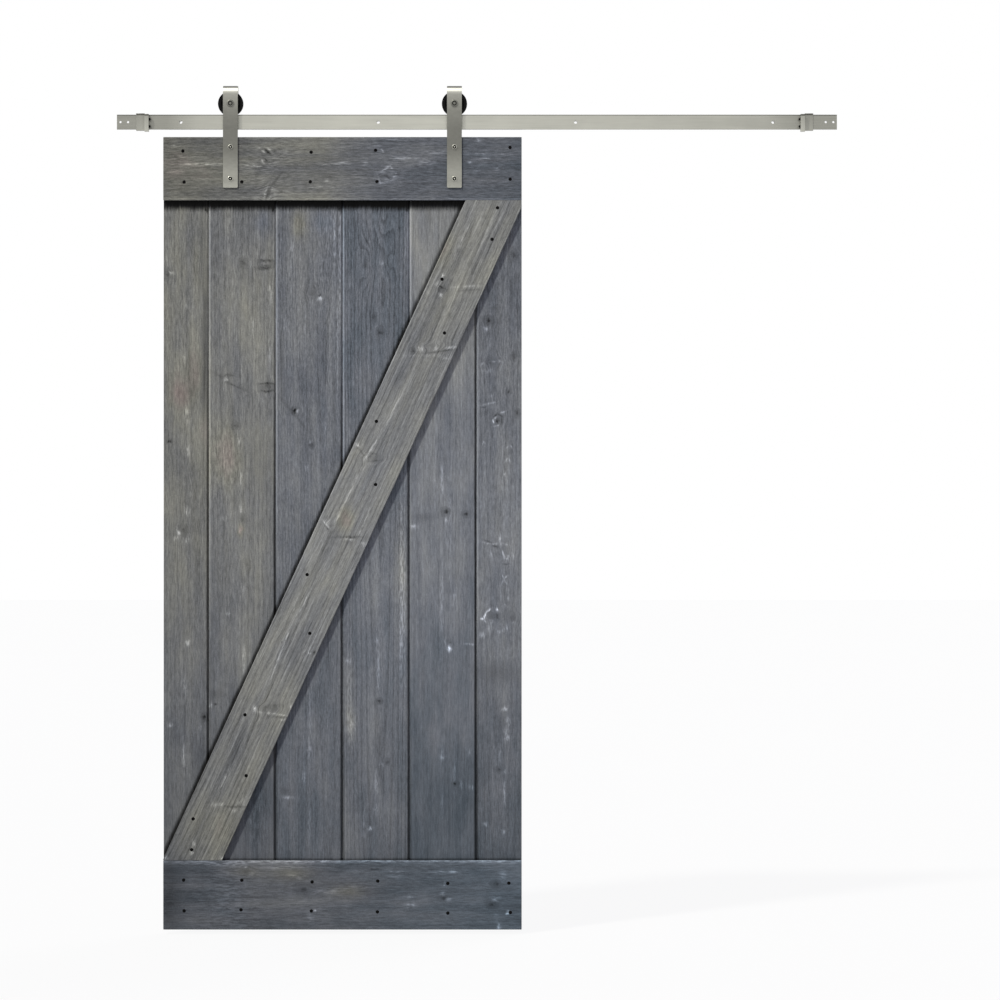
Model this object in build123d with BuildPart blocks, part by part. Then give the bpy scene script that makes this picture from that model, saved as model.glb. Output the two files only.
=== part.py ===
from build123d import *
from math import asin, atan2, degrees, hypot
import os

# Sliding barn door on a flat-bar track, in millimetres.
# The wall is the plane y = 0, the room is on the -Y side and +X runs right along the rail.
# The origin is the middle of the wall face of the second spacer from the left.
# Depths are measured out from the wall, so a depth of 30 is the plane y = -30.

# Door leaf
door_width = 965.0
door_height = 2134.0
door_rest_gap = 195.0  # from the left stop's buffers to the left strap, where the door rests
full_plank_count = 4
plank_face = 180.5
plank_thickness = 19.0
plank_vee = 4.0
plank_back_vee = 1.5
tongue_length = 7.0
tongue_thickness = 6.0
tongue_clearance = 0.3
board_thickness = 16.0
board_ease = 1.5
top_board_height = 170.0
bottom_board_height = 186.0
brace_width = 145.0
brace_heel = 4.0
brace_toe = 19.0

# Track
rail_length = 1940.0
rail_height = 40.0
rail_thickness = 6.0
rail_ease = 0.8
mount_count = 4
mount_inset = 172.0
mount_hole_diameter = 9.0
end_hole_diameter = 6.0
end_hole_inset = 9.5
end_hole_pitch = 20.5
spacer_length = 30.0
spacer_diameter = 20.0
spacer_ease = 0.8

# End stops
left_stop_inset = 52.0
right_stop_inset = 64.0
collar_width = 23.0
collar_wall = 3.0
collar_clearance = 0.2
bar_width = 12.0
bar_height = 47.0
bar_drop = 3.0
bar_reach = 4.0  # how far the bar stands out past the hanger straps
stop_ease = 1.0
buffer_diameter = 7.0
buffer_length = 4.5
buffer_spacing = 20.0
buffer_round = 1.5

# Wheels and axles
wheel_diameter = 68.0
wheel_width = 16.0
wheel_round = 1.5
groove_depth = 5.0
groove_clearance = 0.5
tread_clearance = 0.3
hub_wall = 5.0
hub_clearance = 0.3
dish_depth = 3.0
rim_wall = 4.0
axle_diameter = 12.0
axle_fit = 0.05
axle_head_diameter = 19.0
axle_head_height = 4.5
axle_head_round = 1.5
axle_socket = 9.0
axle_nut_size = 18.0
axle_nut_height = 5.0

# Hangers
hanger_from_joint = 59.5  # from the joint beside an edge plank to the strap's middle
strap_width = 40.0
strap_thickness = 5.0
strap_round = 3.0
crown_flat = 2.0
strap_lap = 137.0
strap_side_gap = 4.0
crown_gap = 9.0
rear_leg_drop = 16.0
rail_to_door = 21.0
bolt_diameter = 8.0
bolt_fit = 0.1
bolt_head_diameter = 13.0
bolt_head_height = 4.0
bolt_head_round = 2.0
bolt_socket = 5.0
socket_depth = 2.5
upper_bolt_drop = 27.0
lower_bolt_edge = 24.5
sleeve_diameter = 16.0
sleeve_height = 2.5

# Depths from the wall
rail_back = spacer_length
rail_front = rail_back + rail_thickness
rail_middle = (rail_back + rail_front) / 2
strap_gap = wheel_width + 2 * strap_side_gap
strap_bend = (strap_gap - crown_flat) / 2
strap_back = rail_middle + strap_gap / 2
strap_front = strap_back + strap_thickness
rear_leg_front = rail_middle - strap_gap / 2
rear_leg_back = rear_leg_front - strap_thickness
leaf_front = strap_back
board_back = leaf_front - board_thickness
leaf_back = board_back - plank_thickness
collar_back = rail_back - collar_clearance - collar_wall
collar_front = rail_front + collar_clearance + collar_wall
bar_front = strap_front + bar_reach

# Heights, from the rail's mid-height
rail_top = rail_height / 2
rail_bottom = -rail_height / 2
tread_radius = wheel_diameter / 2 - groove_depth
axle_z = rail_top + tread_radius + tread_clearance
strap_top = axle_z + wheel_diameter / 2 + crown_gap + strap_thickness
door_top = rail_bottom - rail_to_door
door_bottom = door_top - door_height
strap_bottom = door_top - strap_lap
upper_bolt_z = door_top - upper_bolt_drop
lower_bolt_z = strap_bottom + lower_bolt_edge
top_board_bottom = door_top - top_board_height
bottom_board_top = door_bottom + bottom_board_height
collar_top = rail_top + collar_clearance + collar_wall

# Places along the rail
mount_pitch = (rail_length - 2 * mount_inset) / (mount_count - 1)
spacer_places = [(step - 1) * mount_pitch for step in range(mount_count)]
rail_left = spacer_places[0] - mount_inset
rail_right = spacer_places[-1] + mount_inset
rail_mid = (rail_left + rail_right) / 2
left_buffer_face = rail_left + left_stop_inset + collar_width + bar_width + buffer_length
left_hanger = left_buffer_face + door_rest_gap + strap_width / 2
plank_edge = (door_width - full_plank_count * plank_face) / 2
door_left = left_hanger - hanger_from_joint - plank_edge
door_right = door_left + door_width
door_mid = (door_left + door_right) / 2
right_hanger = door_right - plank_edge - hanger_from_joint
hanger_places = {"left": left_hanger, "right": right_hanger}
bolt_heights = {"upper": upper_bolt_z, "lower": lower_bolt_z}

os.makedirs("parts", exist_ok=True)


def room_plane(depth):
    """The upright plane at a depth from the wall, facing the room."""
    return Plane.XZ.offset(depth)


def keep(piece, name):
    """Labels a finished piece and writes it."""
    piece.part.label = name
    export_step(piece.part, f"parts/{name}.step")


def drill_for_hangers(radius):
    """Drills the hanger bolts' holes through the leaf piece in the open block."""
    places = [(x, z) for x in hanger_places.values() for z in bolt_heights.values()]
    with BuildSketch(room_plane(leaf_back)) as holes:
        with Locations(*places):
            Circle(radius)
    extrude(holes.sketch, amount=leaf_front - leaf_back, mode=Mode.SUBTRACT)


def ease_front(piece, length):
    """Eases the edges round a piece's room-side face."""
    front = piece.faces().sort_by(Axis.Y)[0]
    chamfer(front.outer_wire().edges(), length)


# Planks, tongued on the right and grooved on the left, with a vee where two meet
plank_cuts = [door_left]
plank_cuts += [door_left + plank_edge + step * plank_face for step in range(full_plank_count + 1)]
plank_cuts += [door_right]
plank_mid_y = -(leaf_back + board_back) / 2
bolt_hole_radius = bolt_diameter / 2 + bolt_fit

for number, (left, right) in enumerate(zip(plank_cuts, plank_cuts[1:]), start=1):
    joints = [x for x in (left, right) if door_left < x < door_right]
    with BuildPart() as plank:
        with BuildSketch(Plane.XY.offset(door_bottom)):
            with Locations(((left + right) / 2, plank_mid_y)):
                Rectangle(right - left, plank_thickness)
            with Locations(*[(x, -board_back) for x in joints]):
                RegularPolygon(plank_vee, 4, mode=Mode.SUBTRACT)
            with Locations(*[(x, -leaf_back) for x in joints]):
                RegularPolygon(plank_back_vee, 4, mode=Mode.SUBTRACT)
            if right in joints:
                with Locations((right, plank_mid_y)):
                    Rectangle(tongue_length, tongue_thickness, align=(Align.MIN, Align.CENTER))
            if left in joints:
                with Locations((left, plank_mid_y)):
                    Rectangle(
                        tongue_length + tongue_clearance,
                        tongue_thickness + 2 * tongue_clearance,
                        align=(Align.MIN, Align.CENTER),
                        mode=Mode.SUBTRACT,
                    )
        extrude(amount=door_height)
        drill_for_hangers(bolt_hole_radius)
    keep(plank, f"plank_{number}")

# Boards across the leaf's front
with BuildPart() as top_board:
    with BuildSketch(room_plane(board_back)):
        with Locations((door_mid, (door_top + top_board_bottom) / 2)):
            Rectangle(door_width, top_board_height)
    extrude(amount=board_thickness)
    ease_front(top_board, board_ease)
    drill_for_hangers(bolt_hole_radius)
keep(top_board, "top_board")

with BuildPart() as bottom_board:
    with BuildSketch(room_plane(board_back)):
        with Locations((door_mid, (door_bottom + bottom_board_top) / 2)):
            Rectangle(door_width, bottom_board_height)
    extrude(amount=board_thickness)
    ease_front(bottom_board, board_ease)
keep(bottom_board, "bottom_board")

# Diagonal brace: its upper edge starts at the heel, its lower edge ends at the toe
heel = Vector(door_left, bottom_board_top + brace_heel)
toe = Vector(door_right, top_board_bottom - brace_toe)
diagonal = toe - heel
brace_angle = atan2(diagonal.Y, diagonal.X) + asin(brace_width / hypot(diagonal.X, diagonal.Y))
brace_field = top_board_bottom - bottom_board_top

with BuildPart() as diagonal_brace:
    with BuildSketch(room_plane(board_back)):
        with Locations((heel + toe) / 2):
            Rectangle(2 * diagonal.length, brace_width, rotation=degrees(brace_angle))
        with Locations((door_mid, (top_board_bottom + bottom_board_top) / 2)):
            Rectangle(door_width, brace_field, mode=Mode.INTERSECT)
    extrude(amount=board_thickness)
    ease_front(diagonal_brace, board_ease)
keep(diagonal_brace, "diagonal_brace")

# Flat-bar rail
with BuildPart() as track_rail:
    with BuildSketch(room_plane(rail_back)):
        with Locations((rail_mid, 0)):
            Rectangle(rail_length, rail_height)
    extrude(amount=rail_thickness)
    chamfer(track_rail.edges().filter_by(Axis.X), rail_ease)
    with BuildSketch(room_plane(rail_back)):
        with Locations(*[(x, 0) for x in spacer_places]):
            Circle(mount_hole_diameter / 2)
        with Locations(
            (rail_left + end_hole_inset, 0),
            (rail_left + end_hole_inset + end_hole_pitch, 0),
            (rail_right - end_hole_inset, 0),
            (rail_right - end_hole_inset - end_hole_pitch, 0),
        ):
            Circle(end_hole_diameter / 2)
    extrude(amount=rail_thickness, mode=Mode.SUBTRACT)
keep(track_rail, "track_rail")

# Spacers between the wall and the rail
for number, x in enumerate(spacer_places, start=1):
    with BuildPart() as spacer:
        with BuildSketch(Plane.XZ):
            with Locations((x, 0)):
                Circle(spacer_diameter / 2)
        extrude(amount=spacer_length)
        chamfer(spacer.edges().filter_by(GeomType.CIRCLE), spacer_ease)
        with BuildSketch(Plane.XZ):
            with Locations((x, 0)):
                Circle(mount_hole_diameter / 2)
        extrude(amount=spacer_length, mode=Mode.SUBTRACT)
    keep(spacer, f"wall_spacer_{number}")

# End stops: a collar round the rail with an upright bar on the side that the hangers meet
stop_places = {"left": (rail_left + left_stop_inset, 1), "right": (rail_right - right_stop_inset, -1)}

for side, (outer_x, inward) in stop_places.items():
    bar_outer_x = outer_x + inward * collar_width
    bar_inner_x = bar_outer_x + inward * bar_width
    bar_back = rail_front + collar_clearance
    with BuildPart() as end_stop:
        with BuildSketch(Plane.YZ.offset(outer_x)):
            with Locations((-(collar_back + collar_front) / 2, 0)):
                Rectangle(collar_front - collar_back, 2 * collar_top)
            with Locations((-rail_middle, 0)):
                Rectangle(
                    rail_thickness + 2 * collar_clearance,
                    rail_height + 2 * collar_clearance,
                    mode=Mode.SUBTRACT,
                )
        extrude(amount=inward * collar_width)
        with BuildSketch(Plane.YZ.offset(bar_outer_x)):
            with Locations((-(bar_back + bar_front) / 2, -bar_drop)):
                Rectangle(bar_front - bar_back, bar_height)
        extrude(amount=inward * bar_width)
        chamfer(end_stop.faces().sort_by(Axis.Y)[0].edges(), stop_ease)
    keep(end_stop, f"{side}_end_stop")

    with BuildPart() as buffers:
        with BuildSketch(Plane.YZ.offset(bar_inner_x)):
            with Locations((-(strap_back + strap_front) / 2, -bar_drop)):
                with GridLocations(0, buffer_spacing, 1, 2):
                    Circle(buffer_diameter / 2)
        extrude(amount=inward * buffer_length)
        tip = buffers.edges().filter_by(GeomType.CIRCLE).sort_by(Axis.X, reverse=inward > 0)[0:2]
        fillet(tip, buffer_round)
    keep(buffers, f"{side}_stop_buffers")

# Hangers: a strap bent over each wheel, its axle and the bolts that hold it to the leaf
hub_radius = axle_diameter / 2 + axle_fit + hub_wall
hub_half = strap_gap / 2 - hub_clearance
dish_inner = hub_radius
dish_outer = tread_radius - rim_wall
groove_width = rail_thickness + 2 * groove_clearance

for side, x in hanger_places.items():
    with BuildPart() as hanger_strap:
        with BuildSketch(Plane.YZ.offset(x - strap_width / 2)):
            with BuildLine():
                outside = FilletPolyline(
                    (-strap_front, strap_bottom),
                    (-strap_front, strap_top),
                    (-rear_leg_back, strap_top),
                    (-rear_leg_back, axle_z - rear_leg_drop),
                    radius=strap_bend + strap_thickness,
                )
                inside = FilletPolyline(
                    (-rear_leg_front, axle_z - rear_leg_drop),
                    (-rear_leg_front, strap_top - strap_thickness),
                    (-strap_back, strap_top - strap_thickness),
                    (-strap_back, strap_bottom),
                    radius=strap_bend,
                )
                Line(outside @ 1, inside @ 0)
                Line(inside @ 1, outside @ 0)
            make_face()
        extrude(amount=strap_width)
        front_end, rear_end = hanger_strap.edges().filter_by(Axis.Y).group_by(Axis.Z)[:2]
        fillet(front_end + rear_end, strap_round)
        with BuildSketch(room_plane(rear_leg_back)):
            with Locations((x, axle_z)):
                Circle(axle_diameter / 2 + axle_fit)
        extrude(amount=strap_front - rear_leg_back, mode=Mode.SUBTRACT)
        with BuildSketch(room_plane(strap_back)):
            with Locations((x, upper_bolt_z), (x, lower_bolt_z)):
                Circle(bolt_hole_radius)
        extrude(amount=strap_thickness, mode=Mode.SUBTRACT)
    keep(hanger_strap, f"{side}_hanger_strap")

    with BuildPart() as axle_bolt:
        with BuildSketch(room_plane(rear_leg_back - axle_nut_height)):
            with Locations((x, axle_z)):
                Circle(axle_diameter / 2)
        extrude(amount=strap_front - rear_leg_back + axle_nut_height)
        with BuildSketch(room_plane(strap_front)):
            with Locations((x, axle_z)):
                Circle(axle_head_diameter / 2)
        extrude(amount=axle_head_height)
        rim = axle_bolt.edges().filter_by(GeomType.CIRCLE).sort_by(Axis.Y)[0]
        fillet(rim, axle_head_round)
        with BuildSketch(room_plane(strap_front + axle_head_height)):
            with Locations((x, axle_z)):
                RegularPolygon(axle_socket / 2, 6, major_radius=False)
        extrude(amount=-socket_depth, mode=Mode.SUBTRACT)
    keep(axle_bolt, f"{side}_axle_bolt")

    with BuildPart() as axle_nut:
        with BuildSketch(room_plane(rear_leg_back)):
            with Locations((x, axle_z)):
                RegularPolygon(axle_nut_size / 2, 6, major_radius=False)
                Circle(axle_diameter / 2 + axle_fit, mode=Mode.SUBTRACT)
        extrude(amount=-axle_nut_height)
    keep(axle_nut, f"{side}_axle_nut")

    with BuildPart() as wheel:
        with BuildSketch(Plane.YZ.offset(x)) as half_section:
            with Locations((-rail_middle, axle_z)):
                Rectangle(wheel_width, wheel_diameter / 2, align=(Align.CENTER, Align.MIN))
                Rectangle(2 * hub_half, hub_radius, align=(Align.CENTER, Align.MIN))
                Rectangle(
                    2 * hub_half,
                    axle_diameter / 2 + axle_fit,
                    align=(Align.CENTER, Align.MIN),
                    mode=Mode.SUBTRACT,
                )
            with Locations((-rail_middle, axle_z + wheel_diameter / 2)):
                Rectangle(
                    groove_width,
                    groove_depth,
                    align=(Align.CENTER, Align.MAX),
                    mode=Mode.SUBTRACT,
                )
            fillet(half_section.vertices().group_by(Axis.Y)[-1], wheel_round)
            with Locations((-rail_middle, axle_z + (dish_inner + dish_outer) / 2)):
                with GridLocations(wheel_width, 0, 2, 1):
                    Rectangle(2 * dish_depth, dish_outer - dish_inner, mode=Mode.SUBTRACT)
        revolve(axis=Axis((x, -rail_middle, axle_z), (0, 1, 0)))
    keep(wheel, f"{side}_wheel")

    for level, z in bolt_heights.items():
        with BuildPart() as strap_bolt:
            with BuildSketch(room_plane(leaf_back - sleeve_height)):
                with Locations((x, z)):
                    Circle(bolt_diameter / 2)
            extrude(amount=strap_front - leaf_back + sleeve_height)
            with BuildSketch(room_plane(strap_front)):
                with Locations((x, z)):
                    Circle(bolt_head_diameter / 2)
            extrude(amount=bolt_head_height)
            rim = strap_bolt.edges().filter_by(GeomType.CIRCLE).sort_by(Axis.Y)[0]
            fillet(rim, bolt_head_round)
            with BuildSketch(room_plane(strap_front + bolt_head_height)):
                with Locations((x, z)):
                    RegularPolygon(bolt_socket / 2, 6, major_radius=False)
            extrude(amount=-socket_depth, mode=Mode.SUBTRACT)
        keep(strap_bolt, f"{side}_{level}_bolt")

        with BuildPart() as sleeve_nut:
            with BuildSketch(room_plane(leaf_back)):
                with Locations((x, z)):
                    Circle(sleeve_diameter / 2)
                    Circle(bolt_hole_radius, mode=Mode.SUBTRACT)
            extrude(amount=-sleeve_height)
        keep(sleeve_nut, f"{side}_{level}_sleeve_nut")
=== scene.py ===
"""Looks of the sliding barn door: a grey-stained pine leaf with a diagonal brace, on a flat-bar track."""

from math import asin, atan2, cos, pi, radians, sin

import bmesh
import bpy
from mathutils import Matrix, Vector


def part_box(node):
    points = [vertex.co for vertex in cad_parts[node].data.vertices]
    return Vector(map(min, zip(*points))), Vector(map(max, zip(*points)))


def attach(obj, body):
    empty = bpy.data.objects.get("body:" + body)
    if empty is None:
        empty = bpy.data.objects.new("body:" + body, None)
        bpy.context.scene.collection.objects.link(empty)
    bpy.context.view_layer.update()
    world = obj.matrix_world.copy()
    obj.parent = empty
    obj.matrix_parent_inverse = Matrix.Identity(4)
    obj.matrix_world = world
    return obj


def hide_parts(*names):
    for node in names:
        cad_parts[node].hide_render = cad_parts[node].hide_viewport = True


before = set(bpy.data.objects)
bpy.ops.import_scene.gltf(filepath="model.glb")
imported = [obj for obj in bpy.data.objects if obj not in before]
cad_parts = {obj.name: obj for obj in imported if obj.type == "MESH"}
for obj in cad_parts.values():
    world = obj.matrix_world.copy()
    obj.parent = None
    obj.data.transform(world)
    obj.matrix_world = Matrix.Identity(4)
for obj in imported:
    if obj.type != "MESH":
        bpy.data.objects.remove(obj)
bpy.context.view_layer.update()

MM = 0.001
RIGHT = Vector((1, 0, 0))
DOWN = Vector((0, 0, -1))
UP = Vector((0, 0, 1))
ROOM = Vector((0, -1, 0))  # out of the wall, towards the room
WALL = Vector((0, 1, 0))

# The leaf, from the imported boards
top_low, top_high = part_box("top_board")
bottom_low, bottom_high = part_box("bottom_board")
plank_low, plank_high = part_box("plank_1")
leaf_left = top_low.x
leaf_right = top_high.x
leaf_top = top_high.z
leaf_bottom = bottom_low.z
board_front = top_low.y
plank_front = plank_low.y
plank_back = plank_high.y
field_top = top_low.z
field_bottom = bottom_high.z
leaf_middle = (leaf_left + leaf_right) / 2

# Sizes of the wood that the boxes don't show
PLANK_FACE = 180.5 * MM
FULL_PLANKS = 4
VEE = 4 * MM
BACK_VEE = 1.5 * MM
TONGUE = 7 * MM
TONGUE_THICK = 6 * MM
TONGUE_PLAY = 0.3 * MM
BRACE_WIDTH = 145 * MM
BRACE_HEEL = 4 * MM
BRACE_TOE = 19 * MM
ARRIS = 1.5 * MM

# Sizes of the hardware that the boxes don't show
STRAP_THICK = 5 * MM
STRAP_BEND = 16 * MM  # outside radius
STRAP_CORNER = 3 * MM
REAR_LEG_DROP = 16 * MM
COLLAR_WIDTH = 23 * MM
COLLAR_WALL = 3 * MM
COLLAR_PLAY = 0.2 * MM
WALL_HOLE = 4.5 * MM  # radius
AXLE_SHANK = 6 * MM  # radius
NUT_PLAY = 0.2 * MM

FADE = 0.36788  # one over e, so that FADE ** x falls off as a bell
GAMMA = 2.2  # from a display value to the light it stands for
SEED_STEPS = Vector((7.31, 3.17, 5.93))


class Wire:
    """A socket of a node tree. Arithmetic on wires adds Math nodes."""

    def __init__(self, wiring, socket):
        self.wiring = wiring
        self.socket = socket

    def __add__(self, other):
        return self.wiring.math("ADD", self, other)

    def __sub__(self, other):
        return self.wiring.math("SUBTRACT", self, other)

    def __rsub__(self, other):
        return self.wiring.math("SUBTRACT", other, self)

    def __mul__(self, other):
        return self.wiring.math("MULTIPLY", self, other)

    def __truediv__(self, other):
        return self.wiring.math("DIVIDE", self, other)

    def __pow__(self, other):
        return self.wiring.math("POWER", self, other)

    def __rpow__(self, other):
        return self.wiring.math("POWER", other, self)

    def __abs__(self):
        return self.wiring.math("ABSOLUTE", self)

    __radd__ = __add__
    __rmul__ = __mul__


class Wiring:
    """A node tree and the ways to add to it."""

    def __init__(self, tree):
        self.tree = tree

    def node(self, kind, sockets=None, output=0, stops=None, **settings):
        """Adds a node: its settings and ramp stops first, then its sockets' values or links."""
        made = self.tree.nodes.new(kind)
        for name, value in settings.items():
            setattr(made, name, value)
        if stops:
            ramp = made.color_ramp.elements
            while len(ramp) < len(stops):
                ramp.new(1.0)
            for step, (place, colour) in zip(ramp, stops):
                step.position = place
                step.color = (*colour, 1)
        for key, value in (sockets or {}).items():
            self.feed(made.inputs[key], value)
        return Wire(self, made.outputs[output])

    def feed(self, socket, value):
        """Links a wire to a socket, or sets the socket's own value."""
        if isinstance(value, Wire):
            self.tree.links.new(value.socket, socket)
        else:
            socket.default_value = value

    def math(self, operation, *values, **settings):
        return self.node("ShaderNodeMath", dict(enumerate(values)), operation=operation, **settings)

    def vector(self, operation, *values, output="Vector"):
        return self.node("ShaderNodeVectorMath", dict(enumerate(values)), output, operation=operation)

    def dot(self, wire, axis):
        return self.vector("DOT_PRODUCT", wire, axis, output="Value")

    def scaled(self, colour, amount):
        return self.node("ShaderNodeVectorMath", {0: colour, "Scale": amount}, operation="SCALE")

    def mixed(self, amount, first, second):
        return self.node("ShaderNodeMix", {0: amount, 6: first, 7: second}, 2, data_type="RGBA")

    def tones(self, wire, stops):
        """A grey value read off stops of (place from 0 to 1, value)."""
        greys = [(place, (value,) * 3) for place, value in stops]
        return self.node("ShaderNodeValToRGB", {0: wire}, stops=greys)

    def step(self, wire, start, end, low=0.0, high=1.0):
        """Eases from low to high while the wire goes from start to end."""
        sockets = {"Value": wire, "From Min": start, "From Max": end, "To Min": low, "To Max": high}
        return self.node("ShaderNodeMapRange", sockets, interpolation_type="SMOOTHSTEP")

    def noise(self, place, stretch, seed, detail=2.0, rough=0.5):
        """Noise from 0 to 1, with its own count of bumps per metre along each axis."""
        spread = self.vector("MULTIPLY_ADD", place, stretch, SEED_STEPS * seed)
        sockets = {"Vector": spread, "Scale": 1, "Detail": detail, "Roughness": rough}
        return self.node("ShaderNodeTexNoise", sockets)

    def within(self, wire, reach, soft=0.25):
        """1 up to a reach and 0 past it, with a soft step between."""
        return self.step(wire, reach * (1 + soft), reach * (1 - soft))

    def lump(self, place, centre, halves):
        """A bell that fades over its half sizes. An axis with no half size is left out."""
        shares = [1 / half if half else 0 for half in halves]
        shift = [-middle * share for middle, share in zip(centre, shares)]
        far = self.vector("MULTIPLY_ADD", place, shares, shift)
        return FADE ** self.dot(far, far)

    def stroke(self, place, start, end, half_width):
        """A bell drawn out along a slanting line, in a plane of x and z."""
        line = end - start
        turn = (0, atan2(-line.z, line.x), 0)
        sockets = {0: place, 1: (start + end) / 2, 2: turn, 3: (line.length / 2, 1, half_width)}
        far = self.node("ShaderNodeMapping", sockets, vector_type="TEXTURE")
        return FADE ** self.dot(far, far)


def new_finish(name, roughness, metallic=0.0, specular=0.5):
    """A material with its shader's even values set, and its wiring."""
    material = bpy.data.materials.new(name)
    material.use_nodes = True
    shader = material.node_tree.nodes["Principled BSDF"]
    shader.inputs["Roughness"].default_value = roughness
    shader.inputs["Metallic"].default_value = metallic
    shader.inputs["Specular IOR Level"].default_value = specular
    return material, shader, Wiring(material.node_tree)


def raise_grain(wiring, shader, height, strength, depth):
    """Feeds a height to the shader's normal."""
    sockets = {"Strength": strength, "Distance": depth, "Height": height}
    wiring.feed(shader.inputs["Normal"], wiring.node("ShaderNodeBump", sockets, "Normal"))


# Stained pine

TINTS = [
    (0.0, (0.79, 1.0, 1.22)),
    (0.3, (0.915, 0.99, 1.11)),
    (0.55, (0.98, 1.01, 1.0)),
    (0.75, (1.05, 1.05, 0.90)),
    (1.0, (1.16, 0.97, 0.88)),
]
UNEVEN = 14.0  # how far the outlines of spots wander, in millimetres
STRAY = 5.0  # how far strokes wander, in millimetres
WANDER_BUMPS = 90  # per metre
KNOT_SWIRL = 0.8  # how far the grain goes round a knot
KNOT_CORE = 4  # the higher, the smaller a knot's dark core
KNOT_RING = 0.2  # how dark a knot's outline is, next to its core
KNOT_RING_THIN = 6  # the higher, the thinner the outline
FRONT_DEPTH = 4 * MM  # how deep the marks of the front go
FRONT_FADE = 1 * MM
BACK_DEPTH = 15 * MM  # where the dark joints of the back begin
BACK_FADE = 2.5 * MM
EDGE_REACH = 5 * MM  # how far a pale or dark edge goes in
JOINT_REACH = 6.2 * MM  # on the left of a joint
BACK_REACH = 2.5 * MM
BACK_DARK = 0.13  # how much darker the joints are on the back
LEVEL = 0.5  # the value of an edge's stops at which the edge keeps the board's own tone
LEVEL_EDGE = [(0, LEVEL), (1, LEVEL)]
BUSY = [(0, 1.2), (0.5, 0.92), (1, 0.6)]  # how strong the fine grain is
CORNER_UNEVEN = 0.3  # how far a dark corner's end wanders, as a share of its reach
DARKEST = 0.015
PALEST = 0.9
WARM_BLOTCH = 0.5  # how much the tint goes with the blotches
WARM_BANDS = 0.25  # and with the bands

# Where noise turns into pale and dark lines, and a ring from its pale wood to its dark line and back
PALE_LINE = (0.55, 0.70)
DARK_LINE = (0.45, 0.30)
LATE_START = (0.45, 0.9)
LATE_END = (1.0, 0.92)

# Bumps per metre along, across and into a board
SWAY_BUMPS = (1.1, 3, 3)
DASH_BUMPS = (60, 320, 320)
FIBRE_BUMPS = (20, 440, 440)
LINE_BUMPS = (6, 130, 130)
BAND_BUMPS = (1.8, 34, 34)
BLOTCH_BUMPS = (5, 13, 13)
GRIT_BUMPS = (260, 400, 400)

# How much each pattern changes the stain's lightness, where a board's look doesn't say otherwise
DASHES = 0.22
FIBRES = 0.12
GRIT = 0.12
LINES = 0.03
RINGS = 0.03
BANDS = 0.1
BLOTCH = 0.19

SWAY = 15 * MM  # how far the grain wanders sideways
RING_WIDTH = 8 * MM
RING_WAVER = 1.2  # how many rings the bands push a ring by
RING_MEAN = 0.3  # the share of late wood that leaves the tone as it is


class Board:
    """A board's own axes: along its grain, across its face and out of it."""

    def __init__(self, middle, along, length, width):
        self.middle = middle
        self.along = along.normalized()
        self.across = ROOM.cross(self.along)
        self.length = length
        self.width = width

    def place(self, across, down):
        """A spot along and across the grain, from millimetres right of and below the leaf's corner."""
        spot = Vector((leaf_left + across * MM, self.middle.y, leaf_top - down * MM))
        offset = spot - self.middle
        return Vector((offset.dot(self.along), offset.dot(self.across), 0))


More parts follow.
